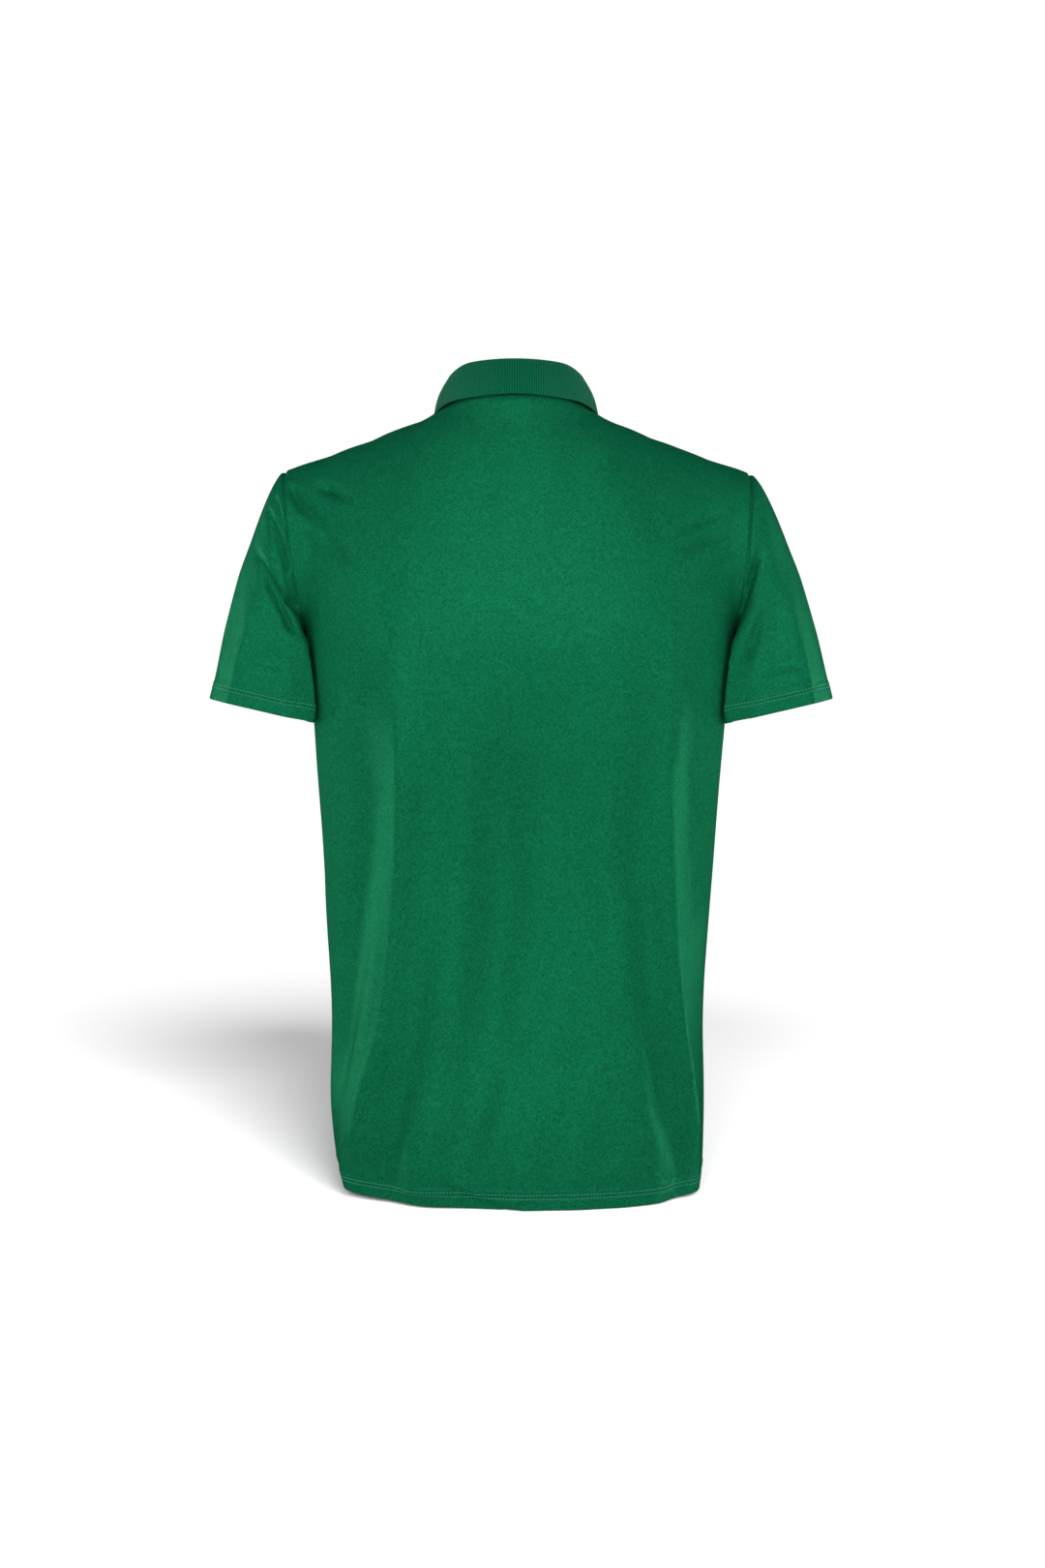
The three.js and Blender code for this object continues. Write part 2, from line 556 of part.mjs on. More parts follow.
// A strip of the front's surface down the placket, wider and longer than the slit by the overlap.
function placketStrip(cloth, overlap, lift) {
  const over = overlap / PLACKET_HALF_WIDTH;
  const columns = (over ? [-1 - over, -1, 0, 1, 1 + over] : [-1, 0, 1]).map((c) => HALF_COLUMNS + c);
  const lowest = cloth.grid.length - 1 - UPPER_ROWS;
  const rows = [...(over ? [lowest - over] : []), ...steps(UPPER_ROWS, (_, r) => lowest + r)];
  const normals = rows.map((r) => columns.map((c) => between(cloth.normals, r, c).normalize()));
  const grid = rows.map((r, i) => columns.map((c, j) => {
    return between(cloth.grid, r, c).addScaledVector(normals[i][j], lift);
  }));
  return { grid, normals };
}

function solidFrom(geometry) {
  const bare = geometry.index ? geometry.toNonIndexed() : geometry.clone();
  bare.deleteAttribute('normal');
  bare.deleteAttribute('uv');
  const merged = mergeVertices(bare, 1e-4);
  return new wasm.Manifold(new wasm.Mesh({
    numProp: 3,
    vertProperties: merged.attributes.position.array,
    triVerts: new Uint32Array(merged.index.array),
  }));
}

// A dished disc with a raised rim and four sewing holes. Its flat back lies at z = 0.
function buttonGeometry() {
  const { radius, thickness, rim, dish, holeRadius, holeSpread } = BUTTON;
  const profile = [
    [0, 0],
    [radius - 0.5, 0],
    [radius, 0.6],
    [radius, thickness - 0.5],
    [radius - 0.5, thickness],
    [radius - rim, thickness],
    [radius - rim - 0.6, thickness - dish],
    [0, thickness - dish],
  ].map(([r, z]) => new THREE.Vector2(r, z));
  let solid = solidFrom(new THREE.LatheGeometry(profile, 24).rotateX(Math.PI / 2));
  for (const [x, y] of [[1, 1], [-1, 1], [-1, -1], [1, -1]]) {
    const drill = new THREE.CylinderGeometry(holeRadius, holeRadius, 3 * thickness, 8).rotateX(Math.PI / 2);
    solid = solid.subtract(solidFrom(drill.translate(x * holeSpread, y * holeSpread, 0)));
  }
  const { vertProperties, triVerts } = solid.getMesh();
  const geometry = new THREE.BufferGeometry();
  geometry.setAttribute('position', new THREE.Float32BufferAttribute(vertProperties, 3));
  geometry.setIndex([...triVerts]);
  return geometry.toNonIndexed();
}

// A button lying on a strip of cloth, at a distance down its middle.
function buttonOn(strip, drop) {
  const middle = strip.grid.map((row) => row[(row.length - 1) / 2]).toReversed();
  const [above, at, below] = pointsAlong(middle, () => [drop - 4, drop, drop + 4]);
  const normal = below.sub(above).cross(point(1, 0, 0)).normalize();
  const lay = new THREE.Matrix4().makeBasis(point(1, 0, 0), normal.clone().cross(point(1, 0, 0)), normal);
  return buttonGeometry().applyMatrix4(lay.setPosition(at.addScaledVector(normal, SEAM_GAP)));
}

// ---------------------------------------------------------------- the shirt

const back = { grid: panelGrid('back') };
const front = { grid: panelGrid('front') };
const panels = [back, front];
panels.forEach((cloth) => {
  cloth.normals = gridNormals(cloth.grid);
});
shareNormals(panels);
const sleeves = CUFFS.map((cuff) => ({
  name: `${cuff.wearer}_sleeve`,
  grid: sleeveGrid(armholeRing(back.grid, front.grid, cuff.wearer), cuff),
  closed: true,
}));
const collar = { grid: collarGrid(neckRing(back.grid, front.grid), panels) };

const sewn = [...panels, ...sleeves, collar];
sewn.forEach((cloth) => {
  cloth.grid = cloth.grid.map((row) => row.map(swayed));
  cloth.normals = gridNormals(cloth.grid, cloth.closed);
});
shareNormals(sewn);
// Between the corners of the neckline the collar's seam follows the straight edges of the panels.
const seamNormals = collar.normals[0];
collar.normals[0] = seamNormals.map((normal, i) => {
  return i % 2 ? seamNormals[i - 1].clone().add(seamNormals[i + 1]).normalize() : normal;
});

const underStrip = placketStrip(front, 0, 0);
const topStrip = placketStrip(front, TOP_STRIP_OVERLAP, SEAM_GAP + CLOTH);

const slitStarts = front.grid.length - 1 - UPPER_ROWS;
const isSlit = (r, c) => r >= slitStarts && (c === HALF_COLUMNS - 1 || c === HALF_COLUMNS);
const hemAtStart = (r) => (r < 2 ? HEM_CLOTH : CLOTH);
const hemAtEnd = (r) => (r > SLEEVE_ROWS + 1 ? HEM_CLOTH : CLOTH);
const trimmed = (cloth, ...gaps) => ({ ...cloth, grid: drawBack(cloth, ...gaps) });

const shirt = new THREE.Group();
const add = (name, geometry, material) => {
  geometry.computeVertexNormals();
  const mesh = new THREE.Mesh(geometry, material);
  mesh.name = name;
  shirt.add(mesh);
};
add('back_panel', clothWall(trimmed(back), hemAtStart), KNIT);
add('front_panel', clothWall(trimmed(front), hemAtStart, isSlit), KNIT);
sleeves.forEach((sleeve) => add(sleeve.name, clothWall(trimmed(sleeve, SEAM_GAP), hemAtEnd), KNIT));
add('collar', clothWall(trimmed(collar, SEAM_GAP, COLLAR_END_GAP), () => COLLAR_CLOTH), RIB);
add('placket_under', clothWall(trimmed(underStrip, SEAM_GAP)), KNIT);
add('placket_top', clothWall(trimmed(topStrip)), KNIT);
['button_top', 'button_middle', 'button_bottom'].forEach((name, i) => {
  add(name, buttonOn(topStrip, BUTTON_DROPS[i]), BUTTON_PLASTIC);
});

export default shirt;
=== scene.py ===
"""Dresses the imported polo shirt: knitted cloth, ribbed collar, sewn hems, placket and buttons.

Sizes inside the classes are in millimetres, as the shirt is cut. Meshes are made in metres, in the
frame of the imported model: the wearer faces -Y, the wearer's left is +X, and +Z is up.
"""

import logging
import math
from dataclasses import dataclass, field
from enum import Enum
from typing import Iterable, Sequence

import bpy
import numpy as np
from mathutils import Matrix, Vector
from mathutils.bvhtree import BVHTree


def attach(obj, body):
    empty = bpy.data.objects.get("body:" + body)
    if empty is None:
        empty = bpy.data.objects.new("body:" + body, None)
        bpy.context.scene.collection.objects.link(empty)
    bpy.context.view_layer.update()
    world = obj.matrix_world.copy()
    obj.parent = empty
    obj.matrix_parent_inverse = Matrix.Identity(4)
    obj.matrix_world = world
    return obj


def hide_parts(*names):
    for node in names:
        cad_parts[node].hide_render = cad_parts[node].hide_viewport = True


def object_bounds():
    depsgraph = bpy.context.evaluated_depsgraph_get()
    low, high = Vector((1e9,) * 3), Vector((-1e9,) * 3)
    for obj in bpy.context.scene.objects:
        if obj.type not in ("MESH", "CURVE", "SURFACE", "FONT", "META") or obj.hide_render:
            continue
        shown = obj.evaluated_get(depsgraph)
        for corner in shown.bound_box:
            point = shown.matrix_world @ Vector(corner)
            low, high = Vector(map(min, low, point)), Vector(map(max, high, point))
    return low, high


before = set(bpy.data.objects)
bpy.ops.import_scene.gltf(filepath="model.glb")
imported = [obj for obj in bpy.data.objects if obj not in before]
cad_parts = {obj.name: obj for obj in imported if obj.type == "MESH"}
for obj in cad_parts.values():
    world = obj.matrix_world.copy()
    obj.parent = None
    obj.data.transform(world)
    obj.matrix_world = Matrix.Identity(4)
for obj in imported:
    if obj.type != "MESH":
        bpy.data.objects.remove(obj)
CAD_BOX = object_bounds()
LOG = logging.getLogger("polo_shirt")

Array = np.ndarray
Object = bpy.types.Object
Material = bpy.types.Material
Socket = bpy.types.NodeSocket
Pair = tuple[float, float]
Triple = tuple[float, float, float]

METRES = 0.001
UV_NAME = "cloth"
SHARP_ANGLE = math.radians(50)
ABOVE_HEM = 999.0  # the distance from the hem's edge that stands for every row above the hem


# ---- small helpers


def smooth(value: Array) -> Array:
    """Eases a share from 0 to 1."""
    t = np.clip(value, 0.0, 1.0)
    return t * t * (3.0 - 2.0 * t)


def blend(a: Array, b: Array, t: Array) -> Array:
    """Mixes a and b by the share t."""
    return a + (b - a) * t


def power(value: Array, exponent: Array) -> Array:
    """Raises a signed value to a power and keeps its sign."""
    return np.sign(value) * np.abs(value) ** exponent


def unit(vectors: Array) -> Array:
    """Scales vectors to a length of one."""
    return vectors / np.maximum(np.linalg.norm(vectors, axis=-1, keepdims=True), 1e-12)


def point(x: Array, y: Array, z: Array) -> Array:
    """Joins three coordinates, each a number or an array, into points."""
    return np.stack(np.broadcast_arrays(x, y, z), axis=-1).astype(float)


def hermite(a: Array, slope_a: Array, b: Array, slope_b: Array, t: Array) -> Array:
    """Runs a cubic from a to b with the given slopes at its ends."""
    t2, t3 = t * t, t * t * t
    rise = 3.0 * t2 - 2.0 * t3
    return a * (1.0 - rise) + b * rise + slope_a * (t3 - 2.0 * t2 + t) + slope_b * (t3 - t2)


def places_along(chain: Array, distance: Array) -> Array:
    """Finds the points at given distances along chains of points.

    Args:
        chain: Points of shape (..., n, 3).
        distance: Distances of shape (..., m).

    Returns:
        Points of shape (..., m, 3).
    """
    step = np.linalg.norm(np.diff(chain, axis=-2), axis=-1)
    reached = np.concatenate([np.zeros_like(step[..., :1]), np.cumsum(step, axis=-1)], axis=-1)
    index = (reached[..., None, :] <= distance[..., :, None]).sum(-1) - 1
    index = np.clip(index, 0, chain.shape[-2] - 2)
    low, high = (np.take_along_axis(reached, index + k, axis=-1) for k in (0, 1))
    t = np.clip((distance - low) / np.maximum(high - low, 1e-9), 0.0, 1.0)[..., None]
    a, b = (np.take_along_axis(chain, (index + k)[..., None], axis=-2) for k in (0, 1))
    return blend(a, b, t)


def chain_length(chain: Array) -> Array:
    """Measures chains of points of shape (..., n, 3)."""
    return np.linalg.norm(np.diff(chain, axis=-2), axis=-1).sum(-1)


def read_grid(values: Array, row: Array, column: Array) -> Array:
    """Reads a grid of points at places between its rows and columns.

    Args:
        values: The grid, of shape (rows, columns, 3).
        row: Places in rows.
        column: Places in columns, which fit the rows by broadcasting.

    Returns:
        Points of the shape that both places share.
    """
    r = np.clip(row.astype(int), 0, len(values) - 2)
    c = np.clip(column.astype(int), 0, values.shape[1] - 2)
    along, across = (row - r)[..., None], (column - c)[..., None]
    low = blend(values[r, c], values[r, c + 1], across)
    high = blend(values[r + 1, c], values[r + 1, c + 1], across)
    return blend(low, high, along)


def joined(*parts: Iterable[float]) -> Array:
    """Joins several runs of places into one rising list."""
    return np.unique(np.round(np.concatenate([np.atleast_1d(p) for p in parts]), 6))


class SmoothTable:
    """Smooth curves through the columns of a table, whose first column is the key."""

    def __init__(self, rows: Sequence[Sequence[float]]) -> None:
        """Works out the slopes at the rows.

        Args:
            rows: Rows of numbers, in rising order of the first one.
        """
        data = np.array(rows, float)
        order = np.arange(len(data))
        before, after = np.maximum(order - 1, 0), np.minimum(order + 1, len(data) - 1)
        self.keys, self.values = data[:, 0], data[:, 1:]
        spans = (self.keys[after] - self.keys[before])[:, None]
        self.slopes = (self.values[after] - self.values[before]) / spans

    def __call__(self, place: Array) -> Array:
        """Reads every column at each place; the columns are the last axis."""
        place = np.asarray(place, float)
        i = np.clip(np.searchsorted(self.keys, place, side="left") - 1, 0, len(self.keys) - 2)
        span = self.keys[i + 1] - self.keys[i]
        t = np.clip((place - self.keys[i]) / span, 0.0, 1.0)[..., None]
        span = span[..., None]
        return hermite(self.values[i], self.slopes[i] * span, self.values[i + 1], self.slopes[i + 1] * span, t)


# ---- cloth


class Facing(Enum):
    """The side of the shirt from which a crease is drawn, as a direction."""

    BACK = (0.0, 1.0, 0.0)
    FRONT = (0.0, -1.0, 0.0)
    LEFT = (1.0, 0.0, 0.0)
    RIGHT = (-1.0, 0.0, 0.0)


class Held(Enum):
    HUNG = "hung"
    FOLDED = "folded"
    LAID = "laid"


@dataclass(frozen=True)
class Crease:
    """One soft crease, drawn as seen from one side of the shirt.

    Its path holds (sideways, up) places: x and z on the back and front, y and z on the left and right.
    rise is negative for a trough. lean widens one flank and steepens the other, cusp gives it a sharp crest,
    and ends are the shares of the length over which it starts and dies out.
    """

    facing: Facing
    path: tuple[Pair, ...]
    width: Pair
    rise: float
    lean: float = 0.0
    cusp: float = 0.0
    ends: Pair = (0.35, 0.35)


def creases(facing: Facing, *rows: tuple) -> tuple[Crease, ...]:
    """Makes creases seen from one side, from rows of path, width, rise, lean, cusp and ends."""
    return tuple(Crease(facing, *row) for row in rows)


@dataclass
class Cloth:
    """A sheet of cloth as rows and columns of points, seen from its outside."""

    points: Array
    closed: bool = False
    normals: Array = field(default=None)

    def wrapped(self) -> Array:
        """Returns the points, with the first column once more at the end where the cloth is closed."""
        return np.concatenate([self.points, self.points[:, :1]], axis=1) if self.closed else self.points

    def own_normals(self) -> Array:
        """Adds up the normals of the cells round each point."""
        p = self.wrapped()
        cell = unit(np.cross(p[:-1, 1:] - p[1:, :-1], p[1:, 1:] - p[:-1, :-1]))
        total = np.zeros_like(p)
        for rows in (slice(-1), slice(1, None)):
            for columns in (slice(-1), slice(1, None)):
                total[rows, columns] += cell
        if self.closed:
            total[:, 0] += total[:, -1]
            total = total[:, :-1]
        return unit(total)

    def across(self) -> Array:
        """Measures each row from its middle, with one more column where the cloth is closed."""
        steps = np.linalg.norm(np.diff(self.wrapped(), axis=1), axis=-1)
        reached = np.concatenate([np.zeros((len(steps), 1)), np.cumsum(steps, axis=1)], axis=1)
        return reached - reached[:, reached.shape[1] // 2, None]

    def along(self) -> Array:
        """Measures each column from the first row, with one more column where the cloth is closed."""
        steps = np.linalg.norm(np.diff(self.points, axis=0), axis=-1)
        reached = np.concatenate([np.zeros((1, steps.shape[1])), np.cumsum(steps, axis=0)], axis=0)
        return np.concatenate([reached, reached[:, :1]], axis=1) if self.closed else reached

    def from_sides(self) -> Array:
        """Measures how far each point lies from the nearer end of its row."""
        across = self.across()
        return np.minimum(across - across[:, :1], across[:, -1:] - across)

    def from_top(self) -> Array:
        """Measures how far each point lies from the last row."""
        along = self.along()[:, : self.points.shape[1]]
        return along[-1:] - along

    def lift(self, height: Array) -> None:
        """Moves every point out along its normal."""
        self.points = self.points + self.normals * height[..., None]


SEAM_GRID = 50  # points within a fiftieth of a millimetre of each other count as one


def share_normals(cloths: Sequence[Cloth]) -> None:
    """Gives cloths that share points at a seam the same normals there.

    Args:
        cloths: Cloths, which get their normals here.
    """
    places = np.concatenate([c.points.reshape(-1, 3) for c in cloths])
    normals = np.concatenate([c.own_normals().reshape(-1, 3) for c in cloths])
    _, owner = np.unique(np.round(places * SEAM_GRID).astype(np.int64), axis=0, return_inverse=True)
    owner = owner.ravel()
    total = np.stack([np.bincount(owner, normals[:, k]) for k in range(3)], axis=1)
    shared = unit(total[owner])
    start = 0
    for cloth in cloths:
        count = cloth.points.shape[0] * cloth.points.shape[1]
        cloth.normals = shared[start : start + count].reshape(cloth.points.shape)
        start += count


PATH_PLACES = 28  # places that a crease's path is drawn with
PATH_EASE = 5  # how many of them its depth is averaged over
SEEN, BARELY_SEEN = 0.05, -0.35  # how far the cloth that a crease is drawn on and runs out on may turn away
CREST = 0.25  # roundness of a sharp crest, in widths of the crease


def crease_height(cloth: Cloth, crease: Crease) -> Array:
    """Works out how far one crease lifts each point of a cloth.

    Args:
        cloth: The cloth, with its normals.
        crease: The crease to draw on it.

    Returns:
        Heights of the shape of the cloth's rows and columns.
    """
    direction = np.array(crease.facing.value)
    sideways = 0 if direction[1] else 1
    places = cloth.points.reshape(-1, 3)
    normals = cloth.normals.reshape(-1, 3)
    facing = np.flatnonzero(normals @ direction > SEEN)
    height = np.zeros(len(places))
    if not len(facing):
        return height.reshape(cloth.points.shape[:2])
    corners = np.array(crease.path, float)
    table = SmoothTable(np.column_stack([np.arange(len(corners)), corners]))
    drawn = table(np.linspace(0, len(corners) - 1, PATH_PLACES))
    flat = places[facing][:, [sideways, 2]]
    nearest = facing[((flat[None] - drawn[:, None]) ** 2).sum(-1).argmin(1)]
    path = places[nearest].copy()
    path[:, sideways], path[:, 2] = drawn[:, 0], drawn[:, 1]
    depth = 1 - sideways
    padded = np.pad(path[:, depth], PATH_EASE // 2, mode="edge")
    path[:, depth] = np.convolve(padded, np.ones(PATH_EASE) / PATH_EASE, mode="valid")
    reach = (2.6 + 2.0 * crease.cusp) * max(crease.width) * (1 + abs(crease.lean))
    inside = ((places > path.min(0) - reach) & (places < path.max(0) + reach)).all(1)
    near = np.flatnonzero(inside & (normals @ direction > BARELY_SEEN))
    start, step = path[:-1], np.diff(path, axis=0)
    offset = places[near][:, None] - start[None]
    t = np.clip((offset * step).sum(-1) / np.maximum((step**2).sum(-1), 1e-9), 0.0, 1.0)
    gap = offset - step * t[..., None]
    distance = np.linalg.norm(gap, axis=-1)
    best = distance.argmin(1)
    rows = np.arange(len(near))
    place = (best + t[rows, best]) / (PATH_PLACES - 1)
    side = np.sign((np.cross(step[best], gap[rows, best]) * normals[near]).sum(-1))
    width = blend(crease.width[0], crease.width[1], place) * (1.0 + crease.lean * side)
    taper = smooth(place / max(crease.ends[0], 1e-3)) * smooth((1.0 - place) / max(crease.ends[1], 1e-3))
    share = distance[rows, best] / width
    rounded = np.exp(-(share**2))
    pointed = np.exp(CREST - np.sqrt(share**2 + CREST**2)) * smooth((5.0 - share) / 2.0)
    height[near] = crease.rise * taper * blend(rounded, pointed, crease.cusp)
    return height.reshape(cloth.points.shape[:2])


SEAM_DIP, SEAM_WIDTH = 1.7, 1.9


def bell(distance: Array, width: float) -> Array:
    """Falls from 1 to 0 on both sides of a line."""
    return np.exp(-((distance / width) ** 2))


def seam_dip(distance: Array) -> Array:
    """Works out how deep a seam draws the cloth in at a distance from it."""
    return SEAM_DIP * bell(distance, SEAM_WIDTH)


WAVES = 14


def waviness(across: Array, along: Array, seed: int, size: float, length: Pair) -> Array:
    """Makes soft, uneven waves in a cloth.

    Args:
        across: Places across the cloth.
        along: Places along the cloth.
        seed: Picks the waves.
        size: Height of the waves.
        length: Their shortest lengths across and along the cloth.

    Returns:
        Heights of the same shape.
    """
    random = np.random.default_rng(seed)
    total = np.zeros(across.shape)
    for _ in range(WAVES):
        stretch = random.uniform(1.0, 2.6)
        fu = random.choice([-1.0, 1.0]) / (length[0] * stretch)
        fv = random.uniform(-1.0, 1.0) / (length[1] * stretch)
        total += math.sqrt(stretch) * np.sin(2 * np.pi * (fu * across + fv * along + random.uniform()))
    return total * size / 5.0


# ---- form of the shirt


class Side(Enum):
    """One of the two panels of the body."""

    BACK = "back"
    FRONT = "front"


def by_side(back: object, front: object) -> dict:
    """Makes a field that holds one value for each panel."""
    return field(default_factory=lambda: {Side.BACK: back, Side.FRONT: front})


@dataclass
class BodyForm:
    """The form of the filled-out body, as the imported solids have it."""

    side_y: float = -4.0
    tip: Pair = (209.5, -50.5)
    shoulder_sag: float = 2.0
    underarm: Pair = (190.5, -205.0)
    armhole_reach: dict = by_side(60.0, 58.0)
    armhole_scoop: dict = by_side(-1.5, 6.0)
    armhole_pull_from: float = 0.45
    neck_half_width: float = 70.0
    neck_side_z: float = 0.6
    neck_end: dict = by_side((64.0, 15.0, 2.0), (-90.0, -58.0, 1.3))
    neck_slope: dict = by_side(62.0, 66.0)
    hem_z: float = -678.0
    hem_drop: dict = by_side(15.5, 5.0)
    hem_ease: float = 0.45
    placket_half: float = 16.0
    neck_columns: int = 6
    half_columns: int = 15
    fold_fade: float = 110.0
    fold_bottom: float = -690.0
    quarter_girth: float = 250.0
    fold_oval: Pair = (187.0, 125.0)
    # height, half width, depth behind and in front of the side seams, squareness
    sections: SmoothTable = field(default_factory=lambda: SmoothTable([
        (-700, 157, 132, 130, 2.5),
        (-672, 164.2, 131, 131, 2.55),
        (-645, 167, 129, 130.5, 2.6),
        (-610, 168.5, 125, 130, 2.65),
        (-540, 167.5, 116, 128, 2.8),
        (-455, 172, 107, 127, 2.9),
        (-370, 177, 107, 128, 2.95),
        (-285, 184, 114, 130, 2.9),
        (-205, 190.5, 121, 128, 2.8),
        (-125, 190.5, 117, 127, 3.1),
    ]))
    # height, how far the shirt has swung to the wearer's left, how much higher that side hangs
    sway: SmoothTable = field(default_factory=lambda: SmoothTable([
        (-700, -1.5, 2),
        (-655, 2, 1.7),
        (-600, 3.5, 1.5),
        (-400, 1.5, 0.5),
        (-205, 0, 0),
        (-50, 2.5, 1),
        (0, 3.5, 1),
        (45, 3.5, 1),
    ]))
    # height of the top, place round the body at the top, middle and hem, width, rise
    folds: tuple[tuple[float, ...], ...] = (
        (-215, 0.42, 0.47, 0.7, 21, 6),
        (-235, -0.52, -0.6, -0.73, 22, 5),
        (-300, 0.06, 0.06, 0.16, 28, -5),
        (-480, 0.93, 0.91, 0.88, 13, -7),
        (-250, 0.19, 0.23, 0.36, 18, 2.5),
        (-230, -0.29, -0.35, -0.5, 20, 3),
        (-500, 0.34, 0.4, 0.49, 16, -4),
        (-330, -0.43, -0.48, -0.62, 17, -3),
        (-230, 1.36, 1.33, 1.28, 26, 5),
        (-250, -1.42, -1.36, -1.26, 26, 5),
        (-330, 1.64, 1.6, 1.56, 28, -4.5),
        (-350, -1.7, -1.66, -1.6, 30, -4.5),
    )

    def half_section(self, side: Side, z: Array, column: Array) -> Array:
        """Finds points of level sections from the centre of a panel to its left side seam.

        Args:
            side: The panel.
            z: Heights, of any shape.
            column: Places across the panel in columns of the solid, of the same shape.

        Returns:
            Points of that shape.
        """
        z, column = np.broadcast_arrays(np.asarray(z, float), np.asarray(column, float))
        centre = 0.0 if side is Side.BACK else 180.0
        turn = np.radians(np.linspace(centre, 90.0, 49))
        size = self.sections(z)
        depth = size[..., 1] if side is Side.BACK else size[..., 2]
        exponent = (2.0 / size[..., 3])[..., None]
        x = size[..., 0, None] * power(np.sin(turn), exponent)
        y = self.side_y + depth[..., None] * power(np.cos(turn), exponent)
        chain = point(x, y, z[..., None])
        length = chain_length(chain)
        share = (column - 1) / (self.half_columns - 1)
        distance = np.where(column <= 1, self.placket_half * column, blend(self.placket_half, length, share))
        return places_along(chain, distance[..., None])[..., 0, :]

    def edge_at(self, y: Array, z: Array) -> Array:
        """Finds how far the level sections reach to the side at given depths and heights.

        Args:
            y: Depths.
            z: Heights.

        Returns:
            Distances from the middle, on either side.
        """
        size = self.sections(z)
        depth = np.where(y > self.side_y, size[..., 1], size[..., 2])
        share = np.clip(np.abs(y - self.side_y) / depth, 0, 1)
        return size[..., 0] * power(1 - share ** size[..., 3], 1 / size[..., 3])

    def top_edge(self, side: Side, column: Array) -> Array:
        """Finds points of the left half of a neckline and shoulder seam.

        Args:
            side: The panel.
            column: Places across the panel, which may run past its ends.

        Returns:
            Points, mirrored for places under 0.
        """
        column = np.asarray(column, float)
        mirrored, held = np.where(column < 0, -1.0, 1.0), np.minimum(np.abs(column), self.half_columns)
        end_y, end_z, ease = self.neck_end[side]
        centre = 0.0 if side is Side.BACK else 180.0
        turn = np.radians(np.linspace(centre, 90.0, 33))
        run = np.abs(np.cos(turn))
        chain = point(
            self.neck_half_width * np.sin(turn),
            self.side_y + (end_y - self.side_y) * run,
            self.neck_side_z + (end_z - self.neck_side_z) * run**ease,
        )
        length = chain_length(chain)
        share = (held - 1) / (self.neck_columns - 1)
        distance = np.where(held <= 1, self.placket_half * held, blend(self.placket_half, length, share))
        neck = places_along(chain, distance)
        t = (held - self.neck_columns) / (self.half_columns - self.neck_columns)
        sag = self.shoulder_sag * np.sin(np.pi * np.clip(t, 0, 1))
        high = chain[-1]
        shoulder = point(blend(high[0], self.tip[0], t), self.side_y, blend(high[2], self.tip[1], t) - sag)
        edge = np.where((held <= self.neck_columns)[..., None], neck, shoulder)
        return edge * point(mirrored, 1.0, 1.0)

    def armhole(self, side: Side, turn: Array) -> Array:
        """Finds points of the left armhole.

        Args:
            side: The panel.
            turn: Degrees, from 0 at the shoulder tip to 180 at the underarm.

        Returns:
            Points.
        """
        along, bow = np.cos(np.radians(turn)), np.sin(np.radians(turn))
        sign = 1.0 if side is Side.BACK else -1.0
        return point(
            blend(self.underarm[0], self.tip[0], (1 + along) / 2) - self.armhole_scoop[side] * bow,
            self.side_y + sign * self.armhole_reach[side] * bow,
            blend(self.underarm[1], self.tip[1], (1 + along) / 2),
        )

    def upper_half(self, side: Side, rise: Array, column: Array) -> Array:
        """Makes the left half of a panel from the underarm to the shoulder seam.

        Args:
            side: The panel.
            rise: Shares of the rows, from just over 0 at the underarm to 1.
            column: Columns, from 0 at the centre.

        Returns:
            Points of shape (rows, columns, 3).
        """
        low = self.half_section(side, np.full(column.shape, self.underarm[1]), column)
        edge = self.top_edge(side, column)
        reach = range(-3, 4)
        soft = sum(self.top_edge(side, column + k) for k in reach) / len(reach)
        up = rise[:, None]
        top = blend(edge[None], soft[None], smooth(4 * (1 - up))[..., None])
        full = np.radians(blend(self.neck_slope[side], 90.0, smooth(column / self.neck_columns)))[None]
        turned = up * full
        forward = (np.cos(turned) - np.cos(full)) / (1 - np.cos(full))
        upward = np.sin(turned) / np.sin(full)
        rows = point(
            blend(low[None, :, 0], top[..., 0], up),
            blend(top[..., 1], low[None, :, 1], forward),
            blend(low[None, :, 2], top[..., 2], upward),
        )
        pull = self.armhole(side, 180 * (1 - rise))[:, None] - rows[:, -1:]
        start = self.armhole_pull_from
        share = np.maximum(0, (column / self.half_columns - start) / (1 - start))
        return rows + pull * (share**2)[None, :, None]

    def lower_half(self, side: Side, height: Array, column: Array) -> Array:
        """Makes the left half of a panel from the hem edge to the underarm.

        Args:
            side: The panel.
            height: Heights of the rows over the hem edge.
            column: Columns, from 0 at the centre.

        Returns:
            Points of shape (rows, columns, 3).
        """
        up, t = height[:, None], (column / self.half_columns)[None]
        share = up / (self.underarm[1] - self.hem_z)
        drop = self.hem_drop[side] * np.maximum(np.cos(np.pi / 2 * t), 0) ** self.hem_ease * (1 - share)
        z = self.hem_z + up - drop
        return self.half_section(side, z, np.broadcast_to(column[None], z.shape))

    def folded(self, places: Array, around: Array) -> Array:
        """Moves points of the evenly filled body to where its large folds put them.

        Args:
            places: The points.
            around: Their places round the body: 0 at the centre back, 1 and -1 at the side seams.

        Returns:
            The moved points.
        """
        z = places[..., 2]
        height = np.zeros(z.shape)
        for top_z, top, middle, hem, width, rise in self.folds:
            t = np.clip((top_z - z) / (top_z - self.fold_bottom), 0, 1)
            centre = blend(top, hem, t) - 2 * (top - 2 * middle + hem) * t * (1 - t)
            away = (around - centre) * self.quarter_girth / width
            fade = smooth((top_z + self.fold_fade / 2 - z) / self.fold_fade)
            height += rise * fade * np.exp(-away * away)
        oval_x, oval_y = self.fold_oval
        out = unit(point(places[..., 0] / oval_x**2, (places[..., 1] - self.side_y) / oval_y**2, 0.0))
        return places + out * height[..., None]

